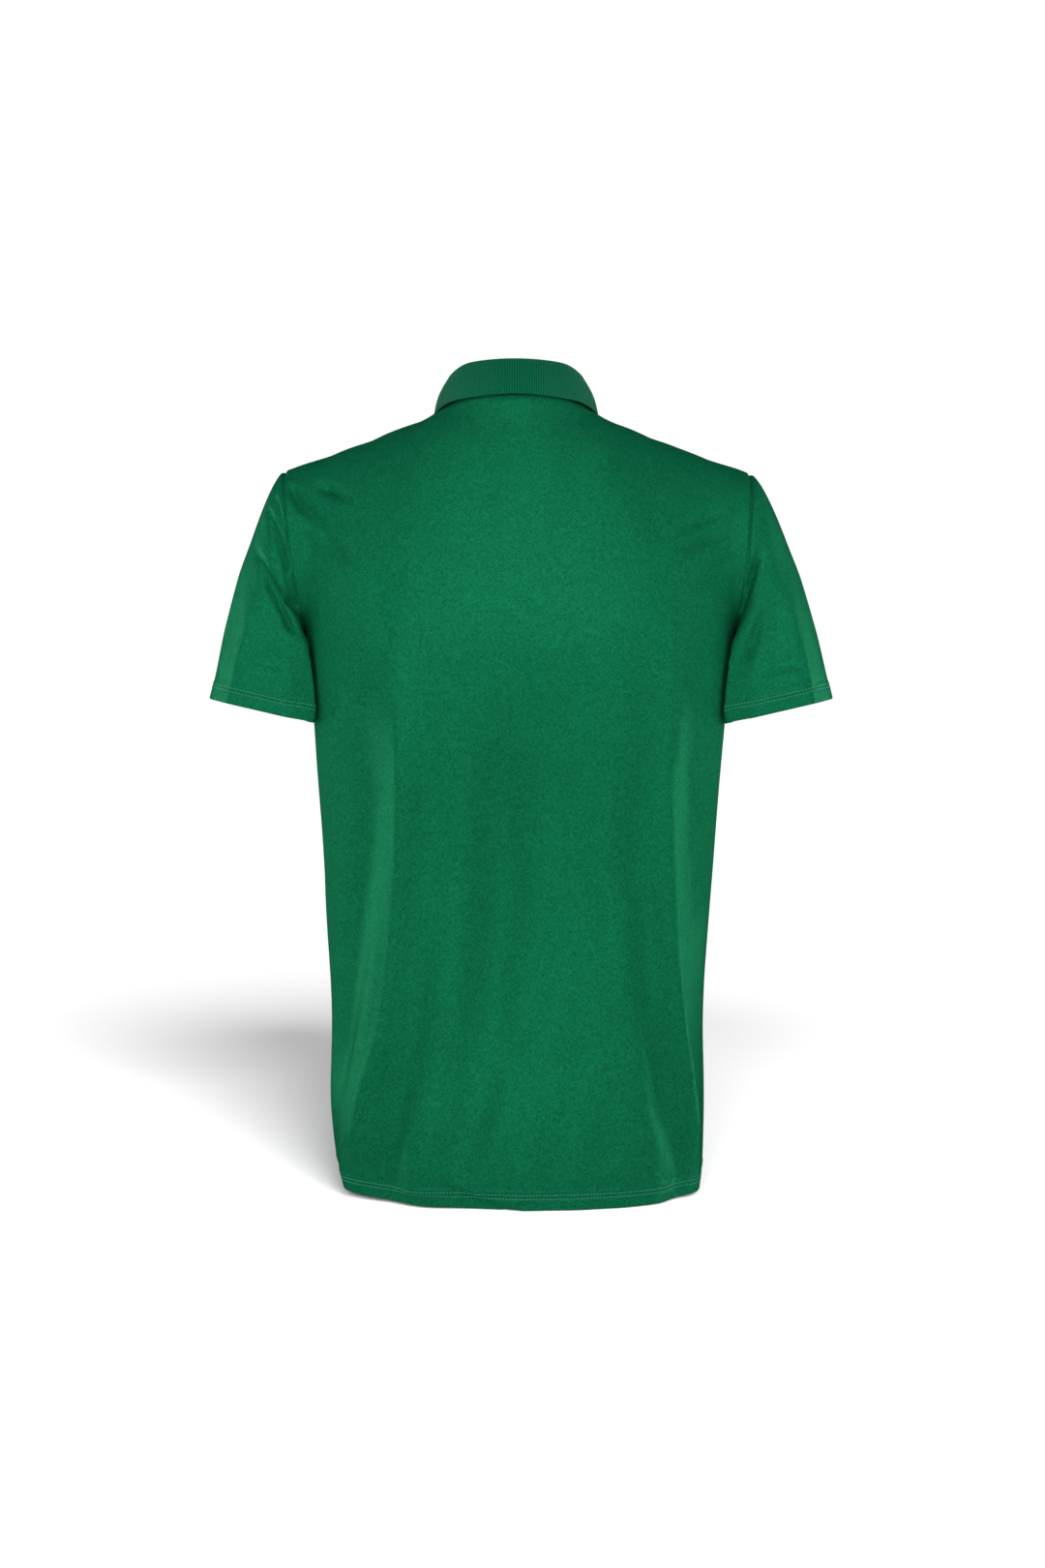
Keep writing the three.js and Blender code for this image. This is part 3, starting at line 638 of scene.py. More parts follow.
    def panel(self, side: Side, height: Array, rise: Array, column: Array) -> Array:
        """Makes a whole panel, from the hem up, seen from outside from its left edge to its right.

        Args:
            side: The panel.
            height: Heights of its lower rows over the hem edge.
            rise: Shares of its upper rows, from just over 0 at the underarm to 1.
            column: Columns of its half, from 0 at the centre.

        Returns:
            Points of shape (rows, columns, 3).
        """
        half = np.concatenate([self.lower_half(side, height, column), self.upper_half(side, rise, column)])
        share = column / self.half_columns
        around = share if side is Side.BACK else 2 - share
        left = self.folded(half, np.broadcast_to(around, half.shape[:2]))
        right = self.folded(half * [-1, 1, 1], np.broadcast_to(-around, half.shape[:2]))
        whole = np.concatenate([left[:, ::-1], right[:, 1:]], axis=1)
        return whole if side is Side.BACK else whole[:, ::-1]

    def swayed(self, places: Array) -> Array:
        """Moves points of the evenly hung shirt to where they lie in the worn one."""
        size = self.sway(places[..., 2])
        lifted = size[..., 1] * places[..., 0] / self.underarm[0]
        return places + point(size[..., 0], 0.0, lifted)


@dataclass
class SleeveForm:
    """The form of one sleeve, from its cuff up to the armhole."""

    side: int
    cuff: Triple
    inner_width: float
    outer_width: float = 45.0
    back_depth: float = 69.0
    front_depth: float = 60.0
    tuck: float = 0.6
    inner_square: float = 5.0
    outer_square: float = 2.35
    tilt: float = 13.0
    yaw: float = 5.0
    pitch: float = -1.5
    axis_pull: float = 80.0
    web: float = 4.0
    # how far the inner corner at the back leans in, and the places where that starts, with their softness
    press: float = 10.0
    corner_out: Pair = (206.0, 14.0)
    corner_back: Pair = (34.0, 16.0)
    corner_down: Pair = (160.0, 28.0)
    corner_foot: Pair = (300.0, 60.0)
    # how far the cloth keeps off the body under the arm, how softly, and from where down
    clearance: float = 3.5
    clearance_ease: float = 3.0
    clear_down: Pair = (206.0, 12.0)
    body: BodyForm = field(default_factory=BodyForm)
    # shares of the last rows' way from the web to the armhole
    sewn: tuple[float, ...] = (0.4, 0.7, 0.88, 1.0)
    # turn, web out and down, start out and down, pull
    lines: SmoothTable = field(default_factory=lambda: SmoothTable([
        (0, 0.8, 0.6, 0.74, 0.67, 110),
        (90, 0.93, 0.36, 0.6, 0.8, 70),
        (180, 0.97, 0.24, 0, 1, 30),
        (270, 0.93, 0.36, 0.6, 0.8, 70),
        (360, 0.8, 0.6, 0.74, 0.67, 110),
    ]))

    def cuff_point(self, turn: Array) -> Array:
        """Finds points of the cuff's edge.

        Args:
            turn: Degrees, 0 on top and 90 at the back.

        Returns:
            Points.
        """
        run = np.cos(np.radians(turn))
        inner = smooth(0.5 - run)
        square = blend(self.outer_square, self.inner_square, inner)
        back = power(np.sin(np.radians(turn)), 2 / square)
        x = np.where(run < 0, self.inner_width, self.outer_width) * power(run, 2 / square)
        x = x * (1 + self.tuck * inner * back**4)
        y = np.where(back > 0, self.back_depth, self.front_depth) * back
        offset = point(x, y, 0.0)
        turned = (
            Matrix.Rotation(math.radians(-self.tilt), 3, "Y")
            @ Matrix.Rotation(math.radians(self.pitch), 3, "X")
            @ Matrix.Rotation(math.radians(-self.yaw), 3, "Z")
        )
        offset = offset @ np.array(turned).T
        return (np.array(self.cuff) + offset) * [self.side, 1, 1]

    def heading(self, out: Array, down: Array) -> Array:
        """Makes directions out of the armhole and down."""
        return unit(point(self.side * out, 0.0, -down))

    def grid(self, ring: Array, near_cuff: Array, middle: Array, near_seam: Array) -> Array:
        """Makes the sleeve's rows from the cuff's edge up to the armhole.

        Args:
            ring: Points round the armhole, from the shoulder tip down the back and up the front.
            near_cuff: Distances from the cuff's edge of the first rows.
            middle: Shares between these rows and the last ones.
            near_seam: Distances from the web of the last rows, falling to 0.

        Returns:
            Points of shape (rows, columns, 3), columns running so that normals face out.
        """
        turn = np.linspace(0, 360, len(ring), endpoint=False)
        size = self.lines(turn)
        web = ring + self.heading(size[:, 0], size[:, 1]) * self.web
        leave = self.heading(size[:, 2], size[:, 3]) * size[:, 4, None]
        tilt = math.radians(self.tilt)
        arrive = np.array([self.side * math.sin(tilt), 0, -math.cos(tilt)]) * self.axis_pull
        t = np.linspace(0, 1, 33)[None, :, None]
        chain = hermite(web[:, None], leave[:, None], self.cuff_point(turn)[:, None], arrive, t)[:, ::-1]
        length = chain_length(chain)[:, None]
        low = np.broadcast_to(near_cuff[None], (len(ring), len(near_cuff)))
        high = length - near_seam[None]
        between = blend(low[:, -1:], high[:, :1], middle[None])
        rows = places_along(chain, np.concatenate([low, between, high], axis=1))
        sewn = blend(web[:, None], ring[:, None], np.array(self.sewn)[None, :, None])
        rows = np.concatenate([rows, sewn], axis=1).transpose(1, 0, 2)
        rows = self.fitted(rows)
        return rows if self.side > 0 else rows[:, ::-1]

    def fitted(self, rows: Array) -> Array:
        """Leans the inner corner at the back in towards the body, and keeps all of the cloth clear of it.

        Args:
            rows: The sleeve's points.

        Returns:
            The moved points.
        """
        away, back, up = rows[..., 0] * self.side, rows[..., 1], rows[..., 2]
        out, behind, under, foot = self.corner_out, self.corner_back, self.corner_down, self.corner_foot
        corner = smooth((out[0] - away) / out[1]) * smooth((back - behind[0]) / behind[1])
        corner = corner * smooth((-up - under[0]) / under[1])
        away = away - self.press * corner * smooth((up + foot[0]) / foot[1])
        short = self.body.edge_at(back, up) + self.clearance - away
        push = 0.5 * (short + np.sqrt(short**2 + self.clearance_ease))
        low = smooth((-up - self.clear_down[0]) / self.clear_down[1])
        return point(self.side * (away + push * low), back, up)


@dataclass
class CollarForm:
    """The form of the collar band: a stand, a fold and a fall."""

    body: BodyForm
    fold_radius: float = 1.2
    bulge: float = 2.5
    rest: float = 0.9
    strip: float = 1.9
    # angle round the neck from the centre back; the fold and the edge on the band's hollow side
    sections: SmoothTable = field(default_factory=lambda: SmoothTable([
        (-40, -39, 39, 39.3, -50, 52, 6),
        (0, 0, 55, 39.8, 0, 72.2, 8.3),
        (40, 39, 39, 39.3, 50, 52, 6),
        (65, 54, 17, 35.5, 67.5, 24, 2.5),
        (90, 60, -7, 29, 73.5, -8, -3),
        (120, 56, -45, 9, 82, -60, -31),
        (150, 34, -77, -22, 65, -93, -66),
        (168, 14, -89, -37, 48, -101, -80),
        (180, 3, -91, -43, 38, -104, -84),
    ]))

    def grid(self, ring: Array, cloths: Sequence[Cloth]) -> Array:
        """Makes the band's hollow side: the outside of the stand and the inside of the fall.

        Args:
            ring: The neckline, from the centre front round the wearer's left and the back.
            cloths: The cloths that the fall lies over.

        Returns:
            Points of shape (rows, stations, 3), from the neck seam to the outer edge.
        """
        body = self.body
        side = np.where(np.arange(len(ring)) < len(ring) / 2, 1.0, -1.0)
        behind = ring[:, 1] > body.side_y
        depth = np.where(behind, body.neck_end[Side.BACK][0], body.neck_end[Side.FRONT][0]) - body.side_y
        run = (ring[:, 1] - body.side_y) / depth * np.where(behind, 1.0, -1.0)
        turn = np.degrees(np.arctan2(np.abs(ring[:, 0]) / body.neck_half_width, run))
        size = self.sections(turn)
        fold = point(side * size[:, 0], size[:, 1], size[:, 2])
        edge = point(side * size[:, 3], size[:, 4], size[:, 5])
        out = unit((edge - fold) * [1, 1, 0])
        angle = np.pi * (1 - np.linspace(0, 1, 9))[:, None, None]
        sink = self.fold_radius * (np.sin(angle) - 1)
        arc = fold + out * self.fold_radius * np.cos(angle) + sink * np.array([0, 0, 1.0])
        stand = blend(ring, arc[0], np.linspace(0, 1, 12, endpoint=False)[:, None, None])
        t = joined(np.linspace(0, 1, 30), [0.975, 0.988])[1:, None, None]
        fall = blend(arc[-1], edge, t) + out * self.bulge * np.sin(np.pi * t)
        return np.concatenate([stand, arc, self.lifted_off(fall, cloths)])

    def lifted_off(self, fall: Array, cloths: Sequence[Cloth]) -> Array:
        """Lifts points of the fall that lie too near to the cloths under it.

        Args:
            fall: Points of the fall.
            cloths: The cloths under it.

        Returns:
            The lifted points.
        """
        trees = []
        for cloth in cloths:
            rows, columns = cloth.points.shape[:2]
            r, c = np.meshgrid(np.arange(rows - 1), np.arange(columns - 1), indexing="ij")
            a = (r * columns + c).ravel()
            quads = np.stack([a, a + 1, a + columns + 1, a + columns], axis=1)
            trees.append(BVHTree.FromPolygons(cloth.points.reshape(-1, 3).tolist(), quads.tolist()))
        raised = fall.copy().reshape(-1, 3)
        for index, place in enumerate(raised):
            hits = [tree.find_nearest(Vector(place)) for tree in trees]
            location, normal, _, _ = min(hits, key=lambda hit: hit[3])
            near_front = 1 - smooth((abs(place[0]) - self.body.placket_half - 3) / 8)
            on_front = float(place[1] < self.body.side_y)
            clearance = self.rest + self.strip * near_front * on_front
            height = (Vector(place) - location).dot(normal)
            raised[index] = place + np.array(normal) * max(0.0, clearance - height)
        return raised.reshape(fall.shape)


# ---- meshes


def mesh_object(name: str, verts: Array, faces: Sequence[Sequence[int]], uv: Array | None = None) -> Object:
    """Makes a smooth-shaded object from points in millimetres.

    Args:
        name: Name of the piece.
        verts: Points.
        faces: Corners of each face.
        uv: A place on the cloth for each corner of each face, or None.

    Returns:
        The new object.
    """
    mesh = bpy.data.meshes.new(name)
    mesh.from_pydata((np.asarray(verts) * METRES).tolist(), [], [list(map(int, f)) for f in faces])
    mesh.polygons.foreach_set("use_smooth", [True] * len(mesh.polygons))
    if uv is not None:
        layer = mesh.uv_layers.new(name=UV_NAME)
        layer.data.foreach_set("uv", np.asarray(uv, np.float32).ravel())
    mesh.set_sharp_from_angle(angle=SHARP_ANGLE)
    mesh.update()
    made = bpy.data.objects.new(name, mesh)
    bpy.context.scene.collection.objects.link(made)
    return made


@dataclass
class Wall:
    """A closed wall of cloth, from its outside in."""

    cloth: Cloth
    thickness: Array
    sink: Array
    lift_inside: Array | float = 0.0
    kept: Array | None = None
    round_first: bool = False
    round_last: bool = False
    rim_steps: int = 4

    def rim_rows(self, outer: Array, inner: Array, row: int, inward: int) -> Array:
        """Makes the rows of points that round an edge of the cloth off.

        Args:
            outer: Points of the outside.
            inner: Points of the inside.
            row: The row at the edge.
            inward: The row beside it.

        Returns:
            Points of shape (steps, columns, 3).
        """
        middle = (outer[row] + inner[row]) / 2
        half = (outer[row] - inner[row]) / 2
        away = unit(outer[row] - outer[inward]) * np.linalg.norm(half, axis=-1, keepdims=True)
        angle = np.pi * np.arange(1, self.rim_steps + 1) / (self.rim_steps + 1)
        return middle + half * np.cos(angle)[:, None, None] + away * np.sin(angle)[:, None, None]

    def build(self, name: str) -> Object:
        """Makes the object of the wall.

        Args:
            name: Name of the piece.

        Returns:
            The new object.
        """
        cloth = self.cloth
        rows, columns = cloth.points.shape[:2]
        outer = cloth.points - cloth.normals * self.sink[..., None]
        inner = cloth.points - cloth.normals * (self.thickness - self.lift_inside)[..., None]
        blocks = [outer.reshape(-1, 3), inner.reshape(-1, 3)]
        uv_columns = columns + (1 if cloth.closed else 0)
        uv_table = np.stack([cloth.across(), cloth.along()], axis=-1).reshape(-1, 2)
        kept = np.ones((rows - 1, uv_columns - 1), bool) if self.kept is None else self.kept
        count = rows * columns
        edge_start = {}
        for flag, row, inward in ((self.round_first, 0, 1), (self.round_last, rows - 1, rows - 2)):
            if flag:
                edge_start[row] = sum(len(b) for b in blocks)
                blocks.append(self.rim_rows(outer, inner, row, inward).reshape(-1, 3))

        faces, uvs = [], []

        def add(*corners: tuple[Array, Array, Array]) -> None:
            """Adds faces from the layer's first point, the row and the column of each corner."""
            faces.append(np.stack([start + r * columns + c % columns for start, r, c in corners], axis=-1))

        def lay(*places: tuple[Array, Array]) -> None:
            """Gives the last faces their places on the flat cloth."""
            uvs.append(np.stack([r * uv_columns + c for r, c in places], axis=-1))

        def rim(mask: Array, first: tuple[int, int], second: tuple[int, int], row: int | None) -> None:
            """Joins the outside to the inside along an edge of cells.

            Args:
                mask: The cells along the edge.
                first: Row and column of the corner where a cell's edge starts.
                second: Row and column where it ends.
                row: The row of the edge where it may be rounded, or None.
            """
            r, c = np.nonzero(mask)
            a, b = (r + first[0], c + first[1]), (r + second[0], c + second[1])
            layers = [(0, a, b), (count, a, b)]
            if row in edge_start:
                flat_a, flat_b = (0 * a[0], a[1]), (0 * b[0], b[1])
                steps = [(edge_start[row] + k * columns, flat_a, flat_b) for k in range(self.rim_steps)]
                layers[1:1] = steps
            for (low, a0, b0), (high, a1, b1) in zip(layers, layers[1:]):
                add((low, *a0), (low, *b0), (high, *b1), (high, *a1))
                lay(a, b, b, a)

        r, c = np.nonzero(kept)
        around = [(r, c), (r, c + 1), (r + 1, c + 1), (r + 1, c)]
        add(*((0, *a) for a in around))
        lay(*around)
        add(*((count, *a) for a in around[::-1]))
        lay(*around[::-1])
        padded = np.pad(kept, 1)
        if cloth.closed:
            padded[1:-1, 0], padded[1:-1, -1] = kept[:, -1], kept[:, 0]
        cells = np.arange(rows - 1)[:, None]
        below, above = kept & ~padded[:-2, 1:-1], kept & ~padded[2:, 1:-1]
        rim(below & (cells == 0), (0, 1), (0, 0), 0)
        rim(below & (cells != 0), (0, 1), (0, 0), None)
        rim(above & (cells == rows - 2), (1, 0), (1, 1), rows - 1)
        rim(above & (cells != rows - 2), (1, 0), (1, 1), None)
        rim(kept & ~padded[1:-1, :-2], (0, 0), (1, 0), None)
        rim(kept & ~padded[1:-1, 2:], (1, 1), (0, 1), None)
        if not cloth.closed:
            for row, start in edge_start.items():
                for column in (0, columns - 1):
                    at = row * columns + column
                    ring = [at, *(start + k * columns + column for k in range(self.rim_steps)), count + at]
                    ring = ring[::-1] if (row == 0) != (column == 0) else ring
                    for k in range(len(ring) // 2 - 1):
                        faces.append(np.array([[ring[k], ring[-1 - k], ring[-2 - k], ring[k + 1]]]))
                        uvs.append(np.full((1, 4), row * uv_columns + column))
        uv = uv_table[np.concatenate(uvs)]
        return mesh_object(name, *without_loose(np.concatenate(blocks), np.concatenate(faces)), uv)


def without_loose(verts: Array, faces: Array) -> tuple[Array, Array]:
    """Drops points that no face uses."""
    used, renamed = np.unique(faces, return_inverse=True)
    return verts[used], renamed.reshape(faces.shape)


@dataclass(frozen=True)
class Stitch:
    """One stitch of a row: its pitch, its length, the thread's radius, and how proud of the cloth it lies."""

    pitch: float
    length: float
    radius: float
    proud: float
    # shares of its length, with the thread's size and height there
    shares: tuple[float, ...] = (0.0, 0.12, 0.5, 0.88, 1.0)
    sizes: tuple[float, ...] = (0.35, 0.95, 1.0, 0.95, 0.35)
    heights: tuple[float, ...] = (-1.0, 0.55, 1.0, 0.55, -1.0)
    sides: int = 6

    def run(self, path: Array, normals: Array, closed: bool = False) -> tuple[Array, Array]:
        """Makes a row of stitches along a path.

        Args:
            path: Points of the path on the cloth.
            normals: The cloth's normals there.
            closed: Whether the path runs round.

        Returns:
            Points and faces of four corners.
        """
        if closed:
            path, normals = (np.concatenate([a, a[:1]]) for a in (path, normals))
        reached = np.concatenate([[0], np.cumsum(np.linalg.norm(np.diff(path, axis=0), axis=-1))])
        count = max(1, int(reached[-1] / self.pitch))
        starts = (np.arange(count) + 0.5) * reached[-1] / count - self.length / 2
        at = starts[:, None] + self.length * np.array(self.shares)[None]

        def read(values: Array) -> Array:
            """Reads points or normals of the path at the stitches' places."""
            return np.stack([np.interp(at, reached, values[:, k]) for k in range(3)], axis=-1)

        middle, out = read(path), unit(read(normals))
        across = unit(np.cross(unit(np.gradient(middle, axis=1)), out))
        middle = middle + out * (self.proud * np.array(self.heights))[None, :, None]
        sides, rings = self.sides, len(self.shares)
        angle = 2 * np.pi * np.arange(sides) / sides
        spoke = across[:, :, None] * np.cos(angle)[:, None] + out[:, :, None] * np.sin(angle)[:, None]
        verts = middle[:, :, None] + spoke * (self.radius * np.array(self.sizes))[None, :, None, None]
        base = (np.arange(count) * rings * sides)[:, None, None]
        ring, k = np.meshgrid(np.arange(rings - 1), np.arange(sides), indexing="ij")
        a, b = base + ring * sides + k, base + ring * sides + (k + 1) % sides
        tube = np.stack([a, b, b + sides, a + sides], axis=-1).reshape(-1, 4)
        first = base[:, 0, 0]
        last = first + (rings - 1) * sides
        caps = [np.stack([first + p for p in order], axis=1) for order in ((3, 2, 1, 0), (5, 4, 3, 0))]
        caps += [np.stack([last + p for p in order], axis=1) for order in ((0, 1, 2, 3), (0, 3, 4, 5))]
        return verts.reshape(-1, 3), np.concatenate([tube, *caps])


Runs = list[tuple[Array, Array]]


def join_runs(name: str, runs: Runs) -> Object:
    """Makes one object of several runs of stitches.

    Args:
        name: Name of the piece.
        runs: Points and faces of each run.

    Returns:
        The new object.
    """
    verts, faces, start = [], [], 0
    for run_verts, run_faces in runs:
        verts.append(run_verts)
        faces.append(run_faces + start)
        start += len(run_verts)
    return mesh_object(name, np.concatenate(verts), np.concatenate(faces))


# ---- materials


class Nodes:
    """Places and links the nodes of one tree."""

    def __init__(self, tree: bpy.types.NodeTree) -> None:
        """Starts on a tree."""
        self.tree = tree

    def fill(self, node: bpy.types.Node, inputs: dict) -> None:
        """Fills a node's inputs with values or links them to sockets."""
        for key, value in inputs.items():
            if isinstance(value, Socket):
                self.tree.links.new(value, node.inputs[key])
            else:
                node.inputs[key].default_value = value

    def add(self, kind: str, inputs: dict | None = None, **settings: object) -> bpy.types.Node:
        """Adds a node, sets its settings and fills its inputs.

        Args:
            kind: Type of the node.
            inputs: Values or sockets for its inputs.
            **settings: Its settings.

        Returns:
            The new node.
        """
        node = self.tree.nodes.new(kind)
        for name, value in settings.items():
            setattr(node, name, value)
        self.fill(node, inputs or {})
        return node

    def math(self, operation: str, a: object, b: object = 0.0, c: object = 0.0) -> Socket:
        """Adds a Math node and returns its result."""
        return self.add("ShaderNodeMath", {0: a, 1: b, 2: c}, operation=operation).outputs[0]

    def times(self, a: object, b: object) -> Socket:
        """Multiplies two numbers."""
        return self.math("MULTIPLY", a, b)

    def less(self, a: object, b: object) -> Socket:
        """Takes b from a."""
        return self.math("SUBTRACT", a, b)

    def wave(self, turns: object) -> Socket:
        """Makes a wave from 0 to 1 that is highest at every whole turn."""
        return self.math("MULTIPLY_ADD", self.math("COSINE", self.times(turns, 2 * math.pi)), 0.5, 0.5)

    def span(self, value: object, ends: Sequence[float], to: Sequence[float] = (0.0, 1.0)) -> Socket:
        """Makes a number that goes softly from one value to another between two ends."""
        inputs = {"Value": value, "From Min": ends[0], "From Max": ends[1], "To Min": to[0], "To Max": to[1]}
        return self.add("ShaderNodeMapRange", inputs, interpolation_type="SMOOTHSTEP").outputs[0]

    def mixed(self, share: object, a: object, b: object) -> Socket:
        """Mixes two colours."""
        return self.add("ShaderNodeMix", {0: share, 6: a, 7: b}, data_type="RGBA").outputs[2]

    def shaded(self, colour: object, share: object) -> Socket:
        """Makes a colour lighter or darker."""
        return self.add("ShaderNodeVectorMath", {0: colour, "Scale": share}, operation="SCALE").outputs[0]

    def bump(self, height: object, strength: float, relief: float) -> Socket:
        """Turns heights into normals; relief is in millimetres."""
        inputs = {"Height": height, "Strength": strength, "Distance": relief * METRES}
        return self.add("ShaderNodeBump", inputs).outputs[0]

    def noise(self, place: object, **inputs: float) -> Socket:
        """Makes soft noise at a place."""
        return self.add("ShaderNodeTexNoise", {"Vector": place, **inputs}).outputs[0]

    def in_object(self) -> Socket:
        """Returns the place in the shirt's frame, in metres."""
        return self.add("ShaderNodeTexCoord").outputs["Object"]

    def on_cloth(self, width: object, height: object) -> tuple[Socket, Socket]:
        """Counts the columns and rows of loops up to a place, from its millimetres on the cloth."""
        place = self.add("ShaderNodeUVMap", uv_map=UV_NAME).outputs[0]
        split = self.add("ShaderNodeSeparateXYZ", {0: place}).outputs
        return self.math("DIVIDE", split[0], width), self.math("DIVIDE", split[1], height)

    def shared(self, name: str, inputs: dict) -> bpy.types.NodeOutputs:
        """Places a shared group with values of its own."""
        return self.add("ShaderNodeGroup", inputs, node_tree=group_named(name)).outputs


def new_group(name: str, inputs: dict[str, str], outputs: dict[str, str]) -> tuple[bpy.types.NodeTree, Nodes]:
    """Starts a shader node group with named sockets.

    Args:
        name: Name of the group.
        inputs: Names of its inputs and their socket types.
        outputs: Names of its outputs and their socket types.

    Returns:
        The group and a writer of its nodes.
    """
    group = bpy.data.node_groups.new(name, "ShaderNodeTree")
    for socket, kind in inputs.items():
        group.interface.new_socket(socket, in_out="INPUT", socket_type=kind)
    for socket, kind in outputs.items():
        group.interface.new_socket(socket, in_out="OUTPUT", socket_type=kind)
    return group, Nodes(group)


FLOAT, COLOUR = "NodeSocketFloat", "NodeSocketColor"


def heather_group() -> bpy.types.NodeTree:
    """Makes the uneven dye of a yarn: soft clouds, and a lighter or darker shade for each loop."""
    group, nodes = new_group(
        "yarn_heather",
        {"Colour": COLOUR, "Column": FLOAT, "Row": FLOAT, "Loops": FLOAT, "Clouds": FLOAT},
        {"Colour": COLOUR},
    )
    given = nodes.add("NodeGroupInput").outputs
    loop = {0: nodes.math("FLOOR", given["Column"]), 1: nodes.math("FLOOR", given["Row"])}
    cell = nodes.add("ShaderNodeCombineXYZ", loop).outputs[0]
    speck = nodes.add("ShaderNodeTexWhiteNoise", {"Vector": cell}, noise_dimensions="2D").outputs[0]
    cloud = nodes.noise(nodes.in_object(), Scale=42.0, Detail=4.0, Roughness=0.6)
    by_loop = nodes.times(nodes.less(speck, 0.5), given["Loops"])
    by_cloud = nodes.times(nodes.less(cloud, 0.5), given["Clouds"])
    shade = nodes.math("ADD", nodes.math("ADD", by_loop, by_cloud), 1.0)
    nodes.add("NodeGroupOutput", {"Colour": nodes.shaded(given["Colour"], shade)})
    return group


def knit_group() -> bpy.types.NodeTree:
    """Makes the loops of a plain knit: columns of slanting legs, from a place on the cloth in millimetres."""
    group, nodes = new_group(
        "knit_loops",
        {"Wale": FLOAT, "Course": FLOAT, "Slant": FLOAT},
        {"Height": FLOAT, "Column": FLOAT, "Row": FLOAT},
    )
    given = nodes.add("NodeGroupInput").outputs
    column, row = nodes.on_cloth(given["Wale"], given["Course"])
    leg = nodes.times(nodes.math("ABSOLUTE", nodes.less(nodes.math("FRACT", column), 0.5)), 2.0)
    slanted = nodes.less(row, nodes.times(leg, given["Slant"]))
    off_leg = nodes.less(nodes.times(leg, 2.0), 1.0)
    bulge = nodes.less(1.0, nodes.times(off_leg, off_leg))
    height = nodes.math("ADD", nodes.times(nodes.wave(slanted), 0.45), nodes.times(bulge, 0.55))
    nodes.add("NodeGroupOutput", {"Height": height, "Column": column, "Row": slanted})
    return group


def rib_group() -> bpy.types.NodeTree:
    """Makes the ribs of a flat-knit band, and the mask of their valleys for painted shade, from a place on the
    cloth in millimetres.
    """
    group, nodes = new_group(
        "rib_lines",
        {"Rib": FLOAT, "Course": FLOAT},
        {"Height": FLOAT, "Valley": FLOAT, "Column": FLOAT, "Row": FLOAT},
    )
    given = nodes.add("NodeGroupInput").outputs
    column, row = nodes.on_cloth(given["Rib"], given["Course"])
    ridge, loop = nodes.wave(column), nodes.wave(row)
    height = nodes.math("ADD", nodes.times(ridge, 0.75), nodes.times(loop, 0.25))
    # the mask of the valleys, where painted shade is laid into the colour
    valley = nodes.less(1.0, nodes.math("POWER", ridge, 0.6))
    out = {"Height": height, "Valley": valley, "Column": nodes.times(column, 2.0), "Row": row}
    nodes.add("NodeGroupOutput", out)
    return group


GROUPS: dict[str, bpy.types.NodeTree] = {}


def group_named(name: str) -> bpy.types.NodeTree:
    """Returns a shared node group, made once."""
    makers = {"heather": heather_group, "knit": knit_group, "rib": rib_group}
    if name not in GROUPS:
        GROUPS[name] = makers[name]()
    return GROUPS[name]


Shade = tuple[float, float, float, float]
WHITE: Shade = (1.0, 1.0, 1.0, 1.0)


def start_material(name: str) -> tuple[Material, Nodes, bpy.types.Node]:
    """Starts a material.

    Args:
        name: Name of the finish.

    Returns:
        The material, a writer of its nodes and its Principled shader.
    """
    material = bpy.data.materials.new(name)
    material.use_nodes = True
    shader = material.node_tree.nodes["Principled BSDF"]
    return material, Nodes(material.node_tree), shader


